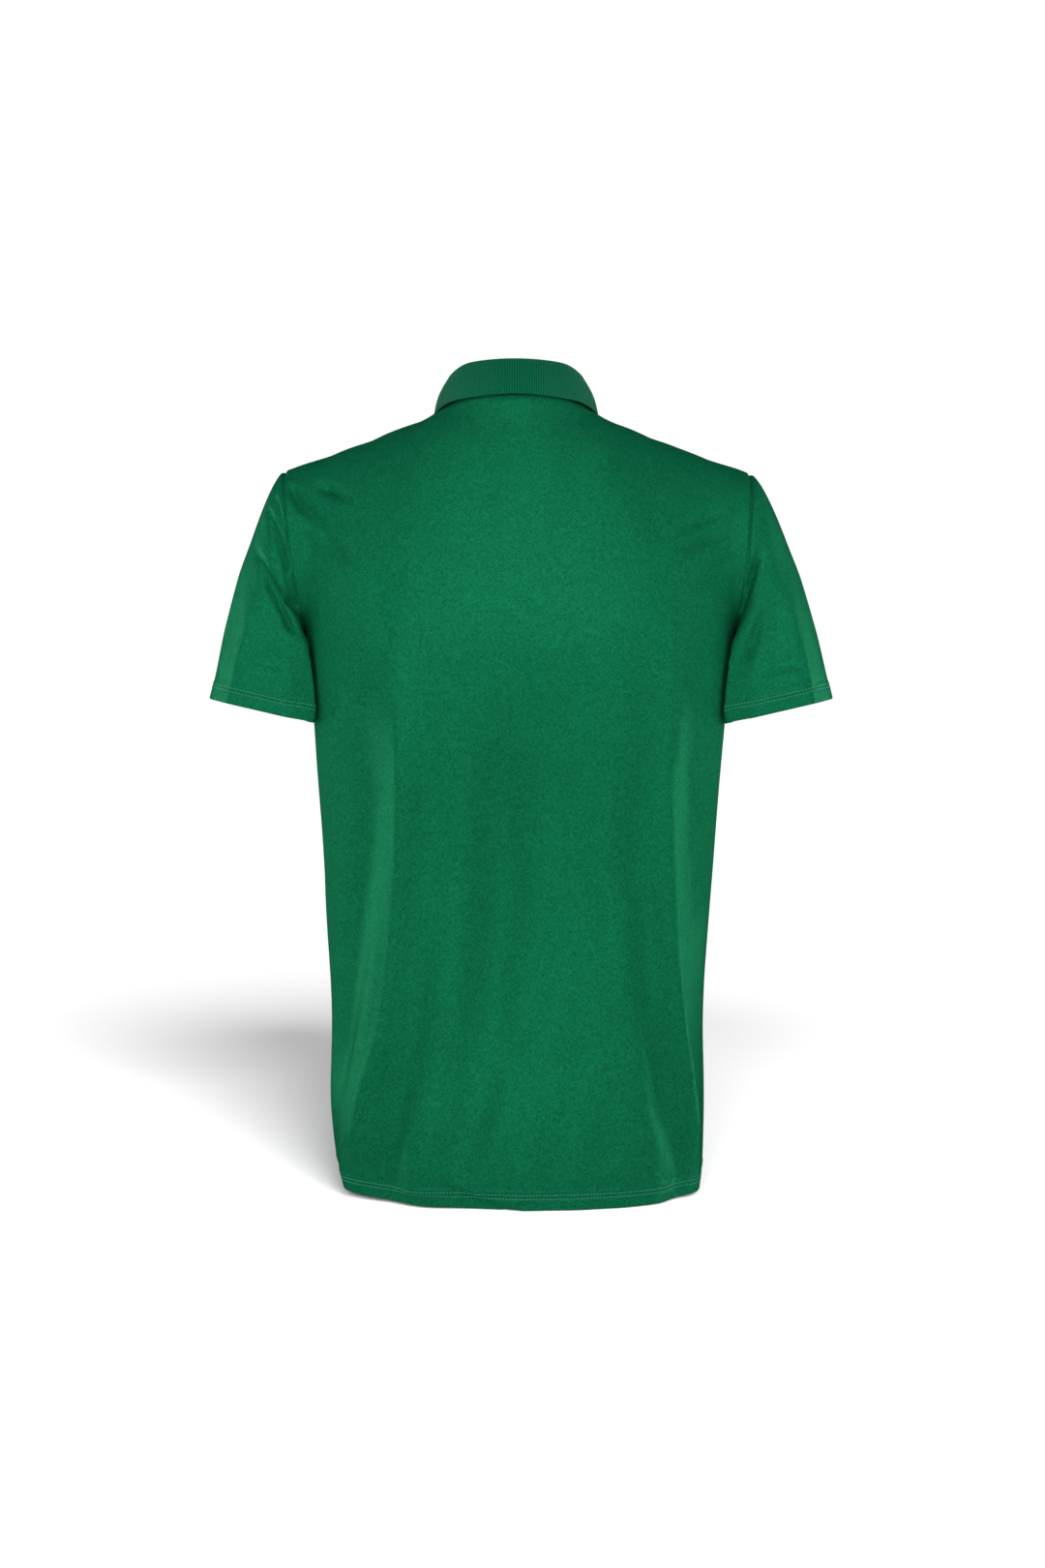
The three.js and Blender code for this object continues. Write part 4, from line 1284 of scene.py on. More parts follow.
@dataclass(frozen=True)
class KnitFinish:
    """Soft, slightly shiny knitted polyester."""

    name: str
    colour: Shade
    wale: float = 1.05
    course: float = 0.85
    slant: float = 0.45
    loops: float = 0.6
    clouds: float = 0.12
    roughness: float = 0.38
    sheen: float = 0.02
    sheen_tint: Shade = (0.05, 0.8, 0.4, 1.0)
    lustre: float = 0.29
    gloss: float = 0.04
    gloss_tint: Shade = (0.4, 1.0, 0.6, 1.0)
    relief: float = 0.16
    sheen_roughness: float = 0.45
    ior: float = 1.3
    bump_strength: float = 0.55
    # painted shade in the hollows between loops: the share of the colour kept in a hollow, and what a loop's
    # height adds to it
    painted_hollow_shade: Pair = (0.82, 0.3)
    # roughness added in a hollow, and what a loop's height adds to it
    hollow_matt: Pair = (0.06, -0.12)
    # where the sides of the body are matt, in metres: away from the middle, short of the sleeves, over the
    # hem, where the limit slants, and under the arms; and how much rougher they are
    side_from: Pair = (0.140, 0.158)
    side_to: Pair = (0.196, 0.21)
    side_up: Pair = (-0.54, -0.48)
    side_slant: float = 0.375
    side_down: Pair = (0.18, 0.25)
    side_matt: float = 0.4

    def matt_sides(self, nodes: Nodes) -> Socket:
        """Makes the mask of the sides that shine less."""
        across, _, up = nodes.add("ShaderNodeSeparateXYZ", {0: nodes.in_object()}).outputs
        away = nodes.math("ABSOLUTE", across)
        high = nodes.span(nodes.math("MULTIPLY_ADD", across, self.side_slant, up), self.side_up)
        low = nodes.span(nodes.times(up, -1.0), self.side_down)
        side = nodes.times(nodes.span(away, self.side_from), nodes.times(high, low))
        return nodes.times(side, nodes.less(1.0, nodes.span(away, self.side_to)))

    def material(self) -> Material:
        """Makes the material."""
        material, nodes, shader = start_material(self.name)
        knit = nodes.shared("knit", {"Wale": self.wale, "Course": self.course, "Slant": self.slant})
        yarn = {"Colour": self.colour, "Loops": self.loops, "Clouds": self.clouds}
        dyed = nodes.shared("heather", {**yarn, "Column": knit["Column"], "Row": knit["Row"]})["Colour"]
        low, gain = self.painted_hollow_shade
        rough, smoother = self.hollow_matt
        grain = nodes.math("MULTIPLY_ADD", knit["Height"], smoother, self.roughness + rough)
        nodes.fill(shader, {
            # the base colour carries painted shade, darker where the loops sink between each other
            "Base Color": nodes.shaded(dyed, nodes.math("MULTIPLY_ADD", knit["Height"], gain, low)),
            "Normal": nodes.bump(knit["Height"], self.bump_strength, self.relief),
            "Roughness": nodes.math("MULTIPLY_ADD", self.matt_sides(nodes), self.side_matt, grain),
            "Metallic": self.lustre,
            "IOR": self.ior,
            "Specular IOR Level": self.gloss,
            "Specular Tint": self.gloss_tint,
            "Sheen Weight": self.sheen,
            "Sheen Roughness": self.sheen_roughness,
            "Sheen Tint": self.sheen_tint,
        })
        return material


@dataclass(frozen=True)
class RibFinish:
    """The flat-knit rib of the collar."""

    name: str
    colour: Shade
    # painted shade: the darker colour laid into the rib's valleys
    painted_valley_shade: Shade
    rib: float = 2.1
    course: float = 0.8
    loops: float = 0.26
    clouds: float = 0.16
    roughness: float = 0.75
    sheen: float = 0.12
    sheen_tint: Shade = (0.06, 0.8, 0.4, 1.0)
    gloss_tint: Shade = (0.1, 1.0, 0.55, 1.0)
    relief: float = 0.8
    bump_strength: float = 0.6
    sheen_roughness: float = 0.5
    gloss: float = 0.3

    def material(self) -> Material:
        """Makes the material."""
        material, nodes, shader = start_material(self.name)
        rib = nodes.shared("rib", {"Rib": self.rib, "Course": self.course})
        # painted shade in the rib's valleys, mixed in by the valley mask
        colour = nodes.mixed(rib["Valley"], self.colour, self.painted_valley_shade)
        yarn = {"Colour": colour, "Loops": self.loops, "Clouds": self.clouds}
        dyed = nodes.shared("heather", {**yarn, "Column": rib["Column"], "Row": rib["Row"]})["Colour"]
        nodes.fill(shader, {
            "Base Color": dyed,
            "Normal": nodes.bump(rib["Height"], self.bump_strength, self.relief),
            "Roughness": self.roughness,
            "Specular IOR Level": self.gloss,
            "Specular Tint": self.gloss_tint,
            "Sheen Weight": self.sheen,
            "Sheen Roughness": self.sheen_roughness,
            "Sheen Tint": self.sheen_tint,
        })
        return material


@dataclass(frozen=True)
class ThreadFinish:
    """Twisted sewing thread, a little lighter than the cloth."""

    name: str
    colour: Shade
    roughness: float = 0.55
    gloss: float = 0.15
    relief: float = 0.08

    def material(self) -> Material:
        """Makes the material."""
        material, nodes, shader = start_material(self.name)
        twist = nodes.noise(nodes.in_object(), Scale=2600.0, Detail=2.0, Roughness=0.5)
        nodes.fill(shader, {
            "Base Color": nodes.shaded(self.colour[:3], nodes.math("MULTIPLY_ADD", twist, 0.5, 0.75)),
            "Normal": nodes.bump(twist, 0.4, self.relief),
            "Roughness": self.roughness,
            "Specular IOR Level": self.gloss,
        })
        return material


@dataclass(frozen=True)
class ButtonFinish:
    """Dyed, polished resin with faint clouds."""

    name: str
    colour: Shade
    cloud_colour: Shade
    roughness: float = 0.28
    coat: float = 0.25

    def material(self) -> Material:
        """Makes the material."""
        material, nodes, shader = start_material(self.name)
        place = nodes.in_object()
        cloud = nodes.noise(place, Scale=260.0, Detail=5.0, Distortion=1.2)
        scratch = nodes.noise(place, Scale=900.0, Detail=3.0)
        share = nodes.times(nodes.less(cloud, 0.35), 1.8)
        nodes.fill(shader, {
            "Base Color": nodes.mixed(share, self.colour, self.cloud_colour),
            "Roughness": nodes.math("MULTIPLY_ADD", scratch, 0.16, self.roughness - 0.06),
            "Coat Weight": self.coat,
        })
        return material


@dataclass(frozen=True)
class FloorFinish:
    """Plain pale studio floor."""

    name: str
    colour: Shade
    glow: float

    def material(self) -> Material:
        """Makes the material."""
        material, nodes, shader = start_material(self.name)
        nodes.fill(shader, {
            "Base Color": self.colour,
            "Roughness": 1.0,
            "Specular IOR Level": 0.0,
            "Emission Color": WHITE,
            "Emission Strength": self.glow,
        })
        return material


@dataclass
class Wardrobe:
    """Every finish of the shirt, made once."""

    knit: KnitFinish = KnitFinish("green_knit", (0.0044, 0.138, 0.0595, 1.0))
    # the rib's second colour is painted shade for its valleys
    rib: RibFinish = RibFinish("green_rib", (0.0026, 0.12, 0.054, 1.0), (0.0011, 0.04, 0.019, 1.0))
    thread: ThreadFinish = ThreadFinish("green_thread", (0.03, 0.24, 0.15, 1.0))
    button: ButtonFinish = ButtonFinish("green_resin", (0.004, 0.09, 0.04, 1.0), (0.01, 0.14, 0.07, 1.0))

    def __post_init__(self) -> None:
        """Makes the materials."""
        finishes = (self.knit, self.rib, self.thread, self.button)
        self.materials = {finish.name: finish.material() for finish in finishes}

    def dress(self, piece: Object, finish: object, slot: str) -> None:
        """Gives a piece its material, and lets it ride on the shirt's body.

        Args:
            piece: The piece.
            finish: Its finish.
            slot: Not used.
        """
        piece.data.materials.append(self.materials[finish.name])
        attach(piece, "root")
        LOG.info("%s: %d faces, finish %s", piece.name, len(piece.data.polygons), finish.name)


# ---- body


NEAR_SEAM = (7, 5.2, 3.7, 2.5, 1.6, 0.9, 0.4, 0)  # distances of the last points from a seam

BACK_CREASES = creases(
    Facing.BACK,
    # the two long ridges, and the trough beside the right one
    (((104, -209), (104, -275), (104, -365), (108, -448), (113, -506), (121, -551), (133, -592), (141, -629),
      (147, -672)), (13, 12), 8.4, 0.45, 1.0, (0.24, 0.12)),
    (((-122, -233), (-127, -316), (-129, -366), (-132, -456), (-138, -531), (-145, -581), (-151, -630),
      (-155, -676)), (12, 12), 7.4, -0.45, 1.0, (0.4, 0.2)),
    (((134, -225), (134, -365), (140, -450), (147, -506), (153, -551), (159, -610)), (21, 15), -6.5, 0, 0,
      (0.3, 0.2)),
    (((-147, -235), (-148, -330), (-150, -400), (-155, -470)), (14, 12), -4.6, 0, 0, (0.4, 0.4)),
    (((-104, -400), (-114, -506), (-124, -563), (-132, -605), (-137, -646), (-139, -680)), (15, 12), -2.6, -0.2,
      0, (0.5, 0.05)),
    # the fan of short folds over the hem
    (((8, -556), (11, -595), (18, -624), (27, -652), (38, -684)), (22, 25), 7.6, 0.45, 0.5, (0.5, 0.04)),
    (((85, -560), (88, -612), (92, -645), (91, -684)), (17, 20), 6.2, 0.45, 0.5, (0.5, 0.04)),
    (((130, -600), (125, -638), (125, -676)), (3.4, 4), 1.6, 0, 0.6, (0.5, 0.1)),
    (((-108, -600), (-120, -645), (-132, -678)), (7, 7), 1.7, -0.3, 0.9, (0.5, 0.1)),
    (((-50, -570), (-60, -612), (-74, -652)), (8, 9), 1.3, -0.3, 0.6),
    (((-43, -622), (-50, -649), (-55, -674)), (5, 6), 1.3, -0.3, 0.8, (0.4, 0.2)),
    (((-11, -530), (-16, -590)), (10, 10), 1.0),
    (((3, -632), (0, -662), (-8, -686)), (5, 10), 1.5, -0.2, 0.5, (0.5, 0.05)),
    (((-76, -646), (-92, -678)), (5, 6), 1.4, -0.3, 0.7, (0.5, 0.1)),
    # soft waves over the whole back
    (((12, -285), (16, -407), (19, -489), (22, -570)), (15, 17), -3.2, 0, 0, (0.4, 0.2)),
    (((46, -240), (54, -407), (62, -489), (75, -551), (82, -605)), (20, 18), 3.0, 0, 0, (0.5, 0.3)),
    (((-70, -220), (-84, -407), (-91, -506), (-103, -572), (-113, -625)), (22, 16), 3.0, 0, 0, (0.5, 0.3)),
    (((105, -180), (117, -217), (125, -250)), (7, 9), -1.2, 0, 0, (0.5, 0.5)),
    # short creases that spread from the shoulder tips
    (((183, -66), (168, -73), (158, -79), (141, -87)), (4.2, 4.8), -6.4, 0, 0, (0.3, 0.5)),
    (((176, -60), (162, -67), (146, -76)), (3.6, 4), 1.2),
    (((204, -64), (196, -82), (184, -94), (169, -106), (155, -114)), (3.8, 5), -6.0, 0, 0, (0.15, 0.6)),
    (((194, -106), (187, -119), (176, -130)), (5, 5), -3.0),
    (((179, -113), (162, -126), (143, -142)), (6, 7), -5.0),
    (((176, -104), (160, -117), (142, -130)), (6, 7), 0.9),
    (((-182, -88), (-166, -98), (-149, -108), (-132, -113)), (5, 6), -4.2),
    (((-184, -97), (-168, -108), (-148, -116)), (4, 5), 0.9),
    (((-184, -105), (-165, -116), (-148, -124), (-130, -129)), (5, 6), -4.8),
    (((-186, -135), (-165, -151), (-146, -159)), (6, 8), -3.0),
)
FRONT_CREASES = creases(
    Facing.FRONT,
    (((118, -225), (112, -330), (116, -440), (126, -540), (140, -620), (150, -676)), (15, 15), 3.8, 0.4, 0.9,
      (0.4, 0.05)),
    (((-112, -215), (-118, -300), (-116, -420), (-124, -530), (-138, -610), (-146, -676)), (15, 16), 4.0, -0.4,
      0.9, (0.4, 0.05)),
    (((46, -500), (50, -580), (62, -640), (70, -682)), (11, 14), 2.6, 0.35, 0.8, (0.5, 0.05)),
    (((-40, -520), (-46, -600), (-60, -650), (-66, -682)), (12, 12), 2.4, -0.35, 0.8, (0.5, 0.05)),
    (((0, -300), (4, -420), (0, -520), (-6, -620)), (20, 22), -2.0),
    (((60, -250), (66, -380), (74, -500), (84, -600)), (20, 18), 1.8),
    (((-66, -260), (-72, -400), (-84, -520), (-96, -610)), (20, 18), 1.8),
    (((186, -84), (170, -100), (152, -116), (134, -126)), (4, 6), -1.7, 0, 0, (0.2, 0.6)),
    (((182, -122), (164, -136), (144, -146)), (5, 7), -1.3),
    (((-186, -82), (-168, -100), (-150, -112), (-132, -120)), (4, 6), -1.7, 0, 0, (0.2, 0.6)),
    (((-184, -126), (-164, -142), (-144, -150)), (5, 7), -1.3),
    (((24, -214), (34, -240), (48, -262)), (6, 9), -1.2),
    (((-24, -212), (-38, -236), (-52, -252)), (6, 9), -1.2),
)
LEFT_SLEEVE_CREASES = (
    *creases(
        Facing.BACK,
        (((219, -74), (214, -93), (208, -110)), (3.2, 3.4), -4.4, 0, 0, (0.3, 0.4)),
        (((226, -80), (217, -106), (209, -127), (201, -148)), (3.2, 3.6), -5.0, 0, 0, (0.3, 0.1)),
        (((237, -118), (229, -136), (218, -154), (207, -168), (194, -177)), (3.4, 4.2), -6.0, 0, 0, (0.4, 0.1)),
        (((233, -139), (217, -164), (203, -190), (190, -217)), (3.8, 4.2), -5.4, 0, 0, (0.3, 0.1)),
        (((232, -126), (222, -146), (211, -160), (199, -171)), (5, 6), 1.1),
        (((245, -125), (241, -170), (243, -204), (250, -230), (258, -246)), (9, 9), 2.0, 0, 0.4),
        (((214, -205), (218, -228), (214, -248)), (8, 9), -2.3),
    ),
    *creases(
        Facing.FRONT,
        (((226, -82), (217, -106), (208, -128), (199, -150)), (3, 4), -2.6, 0, 0, (0.3, 0.2)),
        (((236, -128), (222, -152), (208, -174), (194, -200)), (3.4, 4.4), -3.5, 0, 0, (0.3, 0.1)),
        (((246, -130), (244, -175), (248, -215), (256, -244)), (9, 9), 1.8, 0, 0.4),
    ),
    *creases(
        Facing.LEFT,
        (((14, -110), (20, -170), (14, -240)), (10, 12), 1.6, 0, 0.3),
        (((-30, -120), (-34, -180), (-28, -245)), (11, 12), -2.3),
    ),
)
RIGHT_SLEEVE_CREASES = (
    *creases(
        Facing.BACK,
        (((-213, -122), (-205, -144), (-197, -163), (-190, -184)), (3.6, 4.4), -6.5, 0, 0, (0.3, 0.1)),
        (((-214, -172), (-208, -197), (-201, -219), (-191, -244)), (4, 5), -5.2, 0, 0, (0.4, 0.2)),
        (((-238, -118), (-243, -178), (-250, -221), (-257, -246)), (9, 9), 2.2, 0, 0.4, (0.4, 0.1)),
        (((-212, -246), (-232, -236), (-252, -247)), (4, 4), -1.4),
        (((-224, -150), (-226, -190), (-222, -230)), (9, 10), -2.3),
    ),
    *creases(
        Facing.FRONT,
        (((-228, -90), (-218, -112), (-208, -134), (-198, -156)), (3, 4), -2.6, 0, 0, (0.3, 0.2)),
        (((-232, -146), (-217, -168), (-203, -190), (-190, -214)), (3.4, 4.4), -3.5, 0, 0, (0.3, 0.1)),
        (((-244, -128), (-247, -178), (-254, -236)), (9, 9), 1.8, 0, 0.4),
    ),
    *creases(
        Facing.RIGHT,
        (((12, -112), (16, -172), (8, -244)), (10, 12), 1.6, 0, 0.3),
        (((-32, -124), (-30, -184), (-36, -246)), (11, 12), -2.3),
    ),
)


@dataclass(frozen=True)
class Hem:
    """A turned-up hem: the cloth is doubled and held with two rows of stitches."""

    depth: float
    stitch_heights: Pair
    stitch: Stitch
    single: float = 1.1
    doubled: float = 2.2
    proud: float = 0.45
    bite: float = 0.28
    bite_width: float = 0.7
    thread_sink: float = 0.22

    def places(self, *more: Iterable[float]) -> Array:
        """Lists where rows of points are wanted over the hem's edge, close together at its stitches."""
        low, high = self.stitch_heights
        near = [low - 1.2, low - 0.5, low, low + 0.5, (low + high) / 2]
        near += [high - 0.5, high, high + 0.5, high + 1.2]
        return joined([self.doubled / 2, 1.8, 2.8, 4.2, 5.8, 7.4], near, [self.depth, self.depth + 0.8], *more)

    def band(self, height: Array) -> Array:
        """Works out how far the doubled cloth stands out."""
        return self.proud * smooth((self.depth - height) / 2.5)

    def thickness(self, height: Array) -> Array:
        """Works out how thick the cloth is."""
        return blend(self.single, self.doubled, smooth((self.depth + 0.6 - height) / 0.8))

    def bitten(self, sink: Array, height: Array) -> Array:
        """Adds to the depth by which seams draw the cloth in that of the two rows of stitches."""
        for stitch in self.stitch_heights:
            sink = np.maximum(sink, self.bite * bell(height - stitch, self.bite_width))
        return sink

    def runs(self, cloth: Cloth, height: Array, closed: bool = False) -> Runs:
        """Makes the two rows of stitches.

        Args:
            cloth: The cloth.
            height: Heights of its first rows over the edge.
            closed: Whether the cloth runs round.

        Returns:
            Points and faces of each row of stitches.
        """
        runs = []
        for stitch in self.stitch_heights:
            row = int(np.argmin(np.abs(height - stitch)))
            path = cloth.points[row] - cloth.normals[row] * self.thread_sink
            runs.append(self.stitch.run(path, cloth.normals[row], closed))
        return runs


SEWN_SINK, SEWN_WIDTH = 0.6, 1.1  # how deep and how near to it a seam's own groove is


@dataclass
class Body:
    """The two panels of the body, with the hem."""

    form: BodyForm
    wardrobe: Wardrobe
    hem: Hem = Hem(17.0, (9.5, 12.7), Stitch(2.9, 2.2, 0.42, 0.2))
    pucker: float = 0.16
    middle_x: float = 2.0
    seeds: dict = by_side(11, 23)
    flat: dict = by_side((0.52, 0.74), (0.53, 0.72))
    flat_area: dict = by_side(0.33, 0.32)

    def __post_init__(self) -> None:
        """Lays out the rows and columns and makes the bare panels."""
        form = self.form
        self.column = joined(
            [0, 0.02, 0.05, 0.09],
            np.linspace(0.2, 1, 5),
            np.linspace(1, form.neck_columns, 29),
            np.linspace(form.neck_columns, form.half_columns - 1, 45),
            form.half_columns - np.array([14, 11.5, 9, *NEAR_SEAM]) / (form.quarter_girth / form.half_columns),
        )
        self.height = self.hem.places(
            [15.4, self.hem.depth - 0.5, 20.5], np.linspace(23, form.underarm[1] - form.hem_z, 138)
        )
        self.rise = joined(np.linspace(0, 0.955, 63)[1:], 1 - np.array(NEAR_SEAM) / 220.0)
        self.cloths = {side: Cloth(form.panel(side, self.height, self.rise, self.column)) for side in Side}

    def over_hem(self, shape: tuple[int, ...]) -> Array:
        """Returns the height of each point over the hem's edge."""
        rows = np.concatenate([self.height, np.full(len(self.rise), ABOVE_HEM)])
        return np.broadcast_to(rows[:, None], shape)

    def armhole_ring(self, left: bool) -> Array:
        """Reads the points round an armhole.

        Args:
            left: Whether it is the wearer's left one.

        Returns:
            Points from the shoulder tip down the back and up the front.
        """
        first = len(self.height) - 1
        back = self.cloths[Side.BACK].points[first:, 0 if left else -1]
        front = self.cloths[Side.FRONT].points[first:, -1 if left else 0]
        return np.concatenate([back[::-1], front[1:-1]])

    def neck_ring(self) -> Array:
        """Returns the neckline, from the centre front round the wearer's left and the back."""
        middle = len(self.column) - 1
        reach = int(np.searchsorted(self.column, self.form.neck_columns - 1e-6))
        front = self.cloths[Side.FRONT].points[-1]
        back = self.cloths[Side.BACK].points[-1]
        return np.concatenate([
            front[middle : middle + reach],
            back[middle - reach : middle + reach + 1],
            front[middle - reach + 1 : middle + 1],
        ])

    def crumple(self) -> None:
        """Adds the finer creases, the soft unevenness and the pucker of the hem."""
        for side, cloth in self.cloths.items():
            across, sides, top = cloth.across(), cloth.from_sides(), cloth.from_top()
            held = smooth(sides / 14) * smooth(top / 14)
            height = waviness(across, cloth.along(), self.seeds[side], 0.5, (34, 120)) * held
            near = smooth(sides / 5) * smooth(top / 5)
            for crease in BACK_CREASES if side is Side.BACK else FRONT_CREASES:
                height += crease_height(cloth, crease) * near
            hem = self.over_hem(across.shape)
            pucker = np.sin(across / 3.1 + 1.7 * np.sin(across / 17.0)) * bell(hem - 13, 9)
            height += (self.hem.band(hem) + self.pucker * pucker) * smooth(sides / 3)
            off_middle = np.abs(cloth.points[..., 0] - self.middle_x)
            shoulder = smooth((off_middle - self.form.neck_half_width) / 12)
            height -= seam_dip(sides) + seam_dip(top) * shoulder * (1 - seam_dip(sides) / SEAM_DIP)
            cloth.lift(height)

    def columns(self) -> Array:
        """Returns the place of each column of a panel, from edge to edge."""
        return np.concatenate([-self.column[::-1], self.column[1:]])

    def slit(self) -> Array:
        """Finds the cells of the front that are kept beside the placket's slit."""
        rows = np.arange(len(self.height) + len(self.rise) - 1) >= len(self.height) - 1
        columns = self.columns()
        middle = np.abs((columns[:-1] + columns[1:]) / 2) < 1
        return ~(rows[:, None] & middle[None])

    def build(self) -> None:
        for side, cloth in self.cloths.items():
            hem = self.over_hem(cloth.points.shape[:2])
            shoulder = np.abs(cloth.points[-1, :, 0] - self.middle_x) > self.form.neck_half_width
            sink = SEWN_SINK * bell(cloth.from_sides(), SEWN_WIDTH)
            at_top = np.where(shoulder[None], SEWN_SINK * bell(cloth.from_top(), SEWN_WIDTH), 0)
            sink = self.hem.bitten(np.maximum(sink, at_top), hem)
            kept = self.slit() if side is Side.FRONT else None
            wall = Wall(cloth, self.hem.thickness(hem), sink, kept=kept, round_first=True)
            piece = wall.build(f"{side.value}_cloth")
            self.wardrobe.dress(piece, self.wardrobe.knit, "knit")
            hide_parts(f"{side.value}_panel")

    def hem_runs(self) -> Runs:
        """Makes the two rows of stitches round the hem."""
        return [run for cloth in self.cloths.values() for run in self.hem.runs(cloth, self.height)]


@dataclass
class Sleeve:
    """One sleeve with its stitched cuff."""

    wearer: str
    form: SleeveForm
    ring: Array
    wardrobe: Wardrobe
    seed: int
    creases: tuple[Crease, ...]
    hem: Hem = Hem(18.0, (11.0, 14.2), Stitch(2.9, 2.2, 0.46, 0.24))
    pucker: float = 0.14
    seam_from: float = 170.0
    flat: Pair = (0.4, 0.19)
    flat_area: float = 0.05

    def __post_init__(self) -> None:
        """Makes the bare sleeve."""
        self.near_cuff = self.hem.places([9, self.hem.depth - 0.6, 21, 24])
        near_seam = np.array([9, 6, 3, 0.0])
        middle = np.linspace(0, 1, 58)[1:-1]
        self.cloth = Cloth(self.form.grid(self.ring, self.near_cuff, middle, near_seam), closed=True)

    def over_hem(self) -> Array:
        """Returns the distance of each point from the cuff's edge."""
        shape = self.cloth.points.shape[:2]
        rows = np.concatenate([self.near_cuff, np.full(shape[0] - len(self.near_cuff), ABOVE_HEM)])
        return np.broadcast_to(rows[:, None], shape)

    def crumple(self) -> None:
        """Adds the sleeve's creases, unevenness and pucker."""
        cloth, top, hem = self.cloth, self.cloth.from_top(), self.over_hem()
        columns = cloth.points.shape[1]
        across, along = cloth.across()[:, :columns], cloth.along()[:, :columns]
        around = np.broadcast_to(52 * np.sin(2 * np.pi * np.arange(columns) / columns), across.shape)
        height = waviness(around, along, self.seed, 0.55, (40, 90)) * smooth(top / 12)
        for crease in self.creases:
            height += crease_height(cloth, crease) * smooth(top / 5)
        pucker = np.sin(across / 3.0 + 1.4 * np.sin(across / 15.0)) * bell(hem - 14, 9)
        off_seam = smooth((self.seam_from - np.abs(across)) / 10)
        cloth.lift(height + self.hem.band(hem) + self.pucker * pucker * off_seam - seam_dip(top))

    def build(self) -> None:
        cloth, hem = self.cloth, self.over_hem()
        sink = self.hem.bitten(SEWN_SINK * bell(cloth.from_top(), SEWN_WIDTH), hem)
        wall = Wall(cloth, self.hem.thickness(hem), sink, round_first=True)
        piece = wall.build(f"{self.wearer}_sleeve_cloth")
        self.wardrobe.dress(piece, self.wardrobe.knit, "knit")
        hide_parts(f"{self.wearer}_sleeve")

    def cuff_runs(self) -> Runs:
        """Makes the two rows of stitches round the cuff."""
        return self.hem.runs(self.cloth, self.near_cuff, closed=True)


def rolled(edge: Array, thickness: float) -> Array:
    """Works out how far a sheet's faces fall away towards its rolled edge."""
    share = np.clip(1 - edge / (thickness / 2), 0, 1)
    return 0.8 * (thickness / 2) * (1 - np.sqrt(1 - share**2))


@dataclass
class Collar:
    """The ribbed collar band."""

    form: CollarForm
    body: Body
    wardrobe: Wardrobe
    thickness: float = 2.0
    end_gap: float = 1.4
    end_shares: tuple[float, ...] = (1.0, 0.8, 0.6, 0.45, 0.3)
    flat: Pair = (0.44, 0.085)

    def __post_init__(self) -> None:
        """Makes the bare band and draws its ends back from the centre front."""
        grid = self.form.grid(self.body.neck_ring(), list(self.body.cloths.values()))
        for end in (grid, grid[:, ::-1]):
            away = unit(end[:, 0] - end[:, 6])
            for k, share in enumerate(self.end_shares):
                end[:, k] -= away * self.end_gap * share
        self.cloth = Cloth(grid)

    def build(self) -> None:
        sides = self.cloth.from_sides()
        roll = rolled(sides, self.thickness)
        thickness = np.full(sides.shape, self.thickness)
        piece = Wall(self.cloth, thickness, roll, lift_inside=roll, round_last=True).build("collar_band")
        self.wardrobe.dress(piece, self.wardrobe.rib, "rib")
        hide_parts("collar")


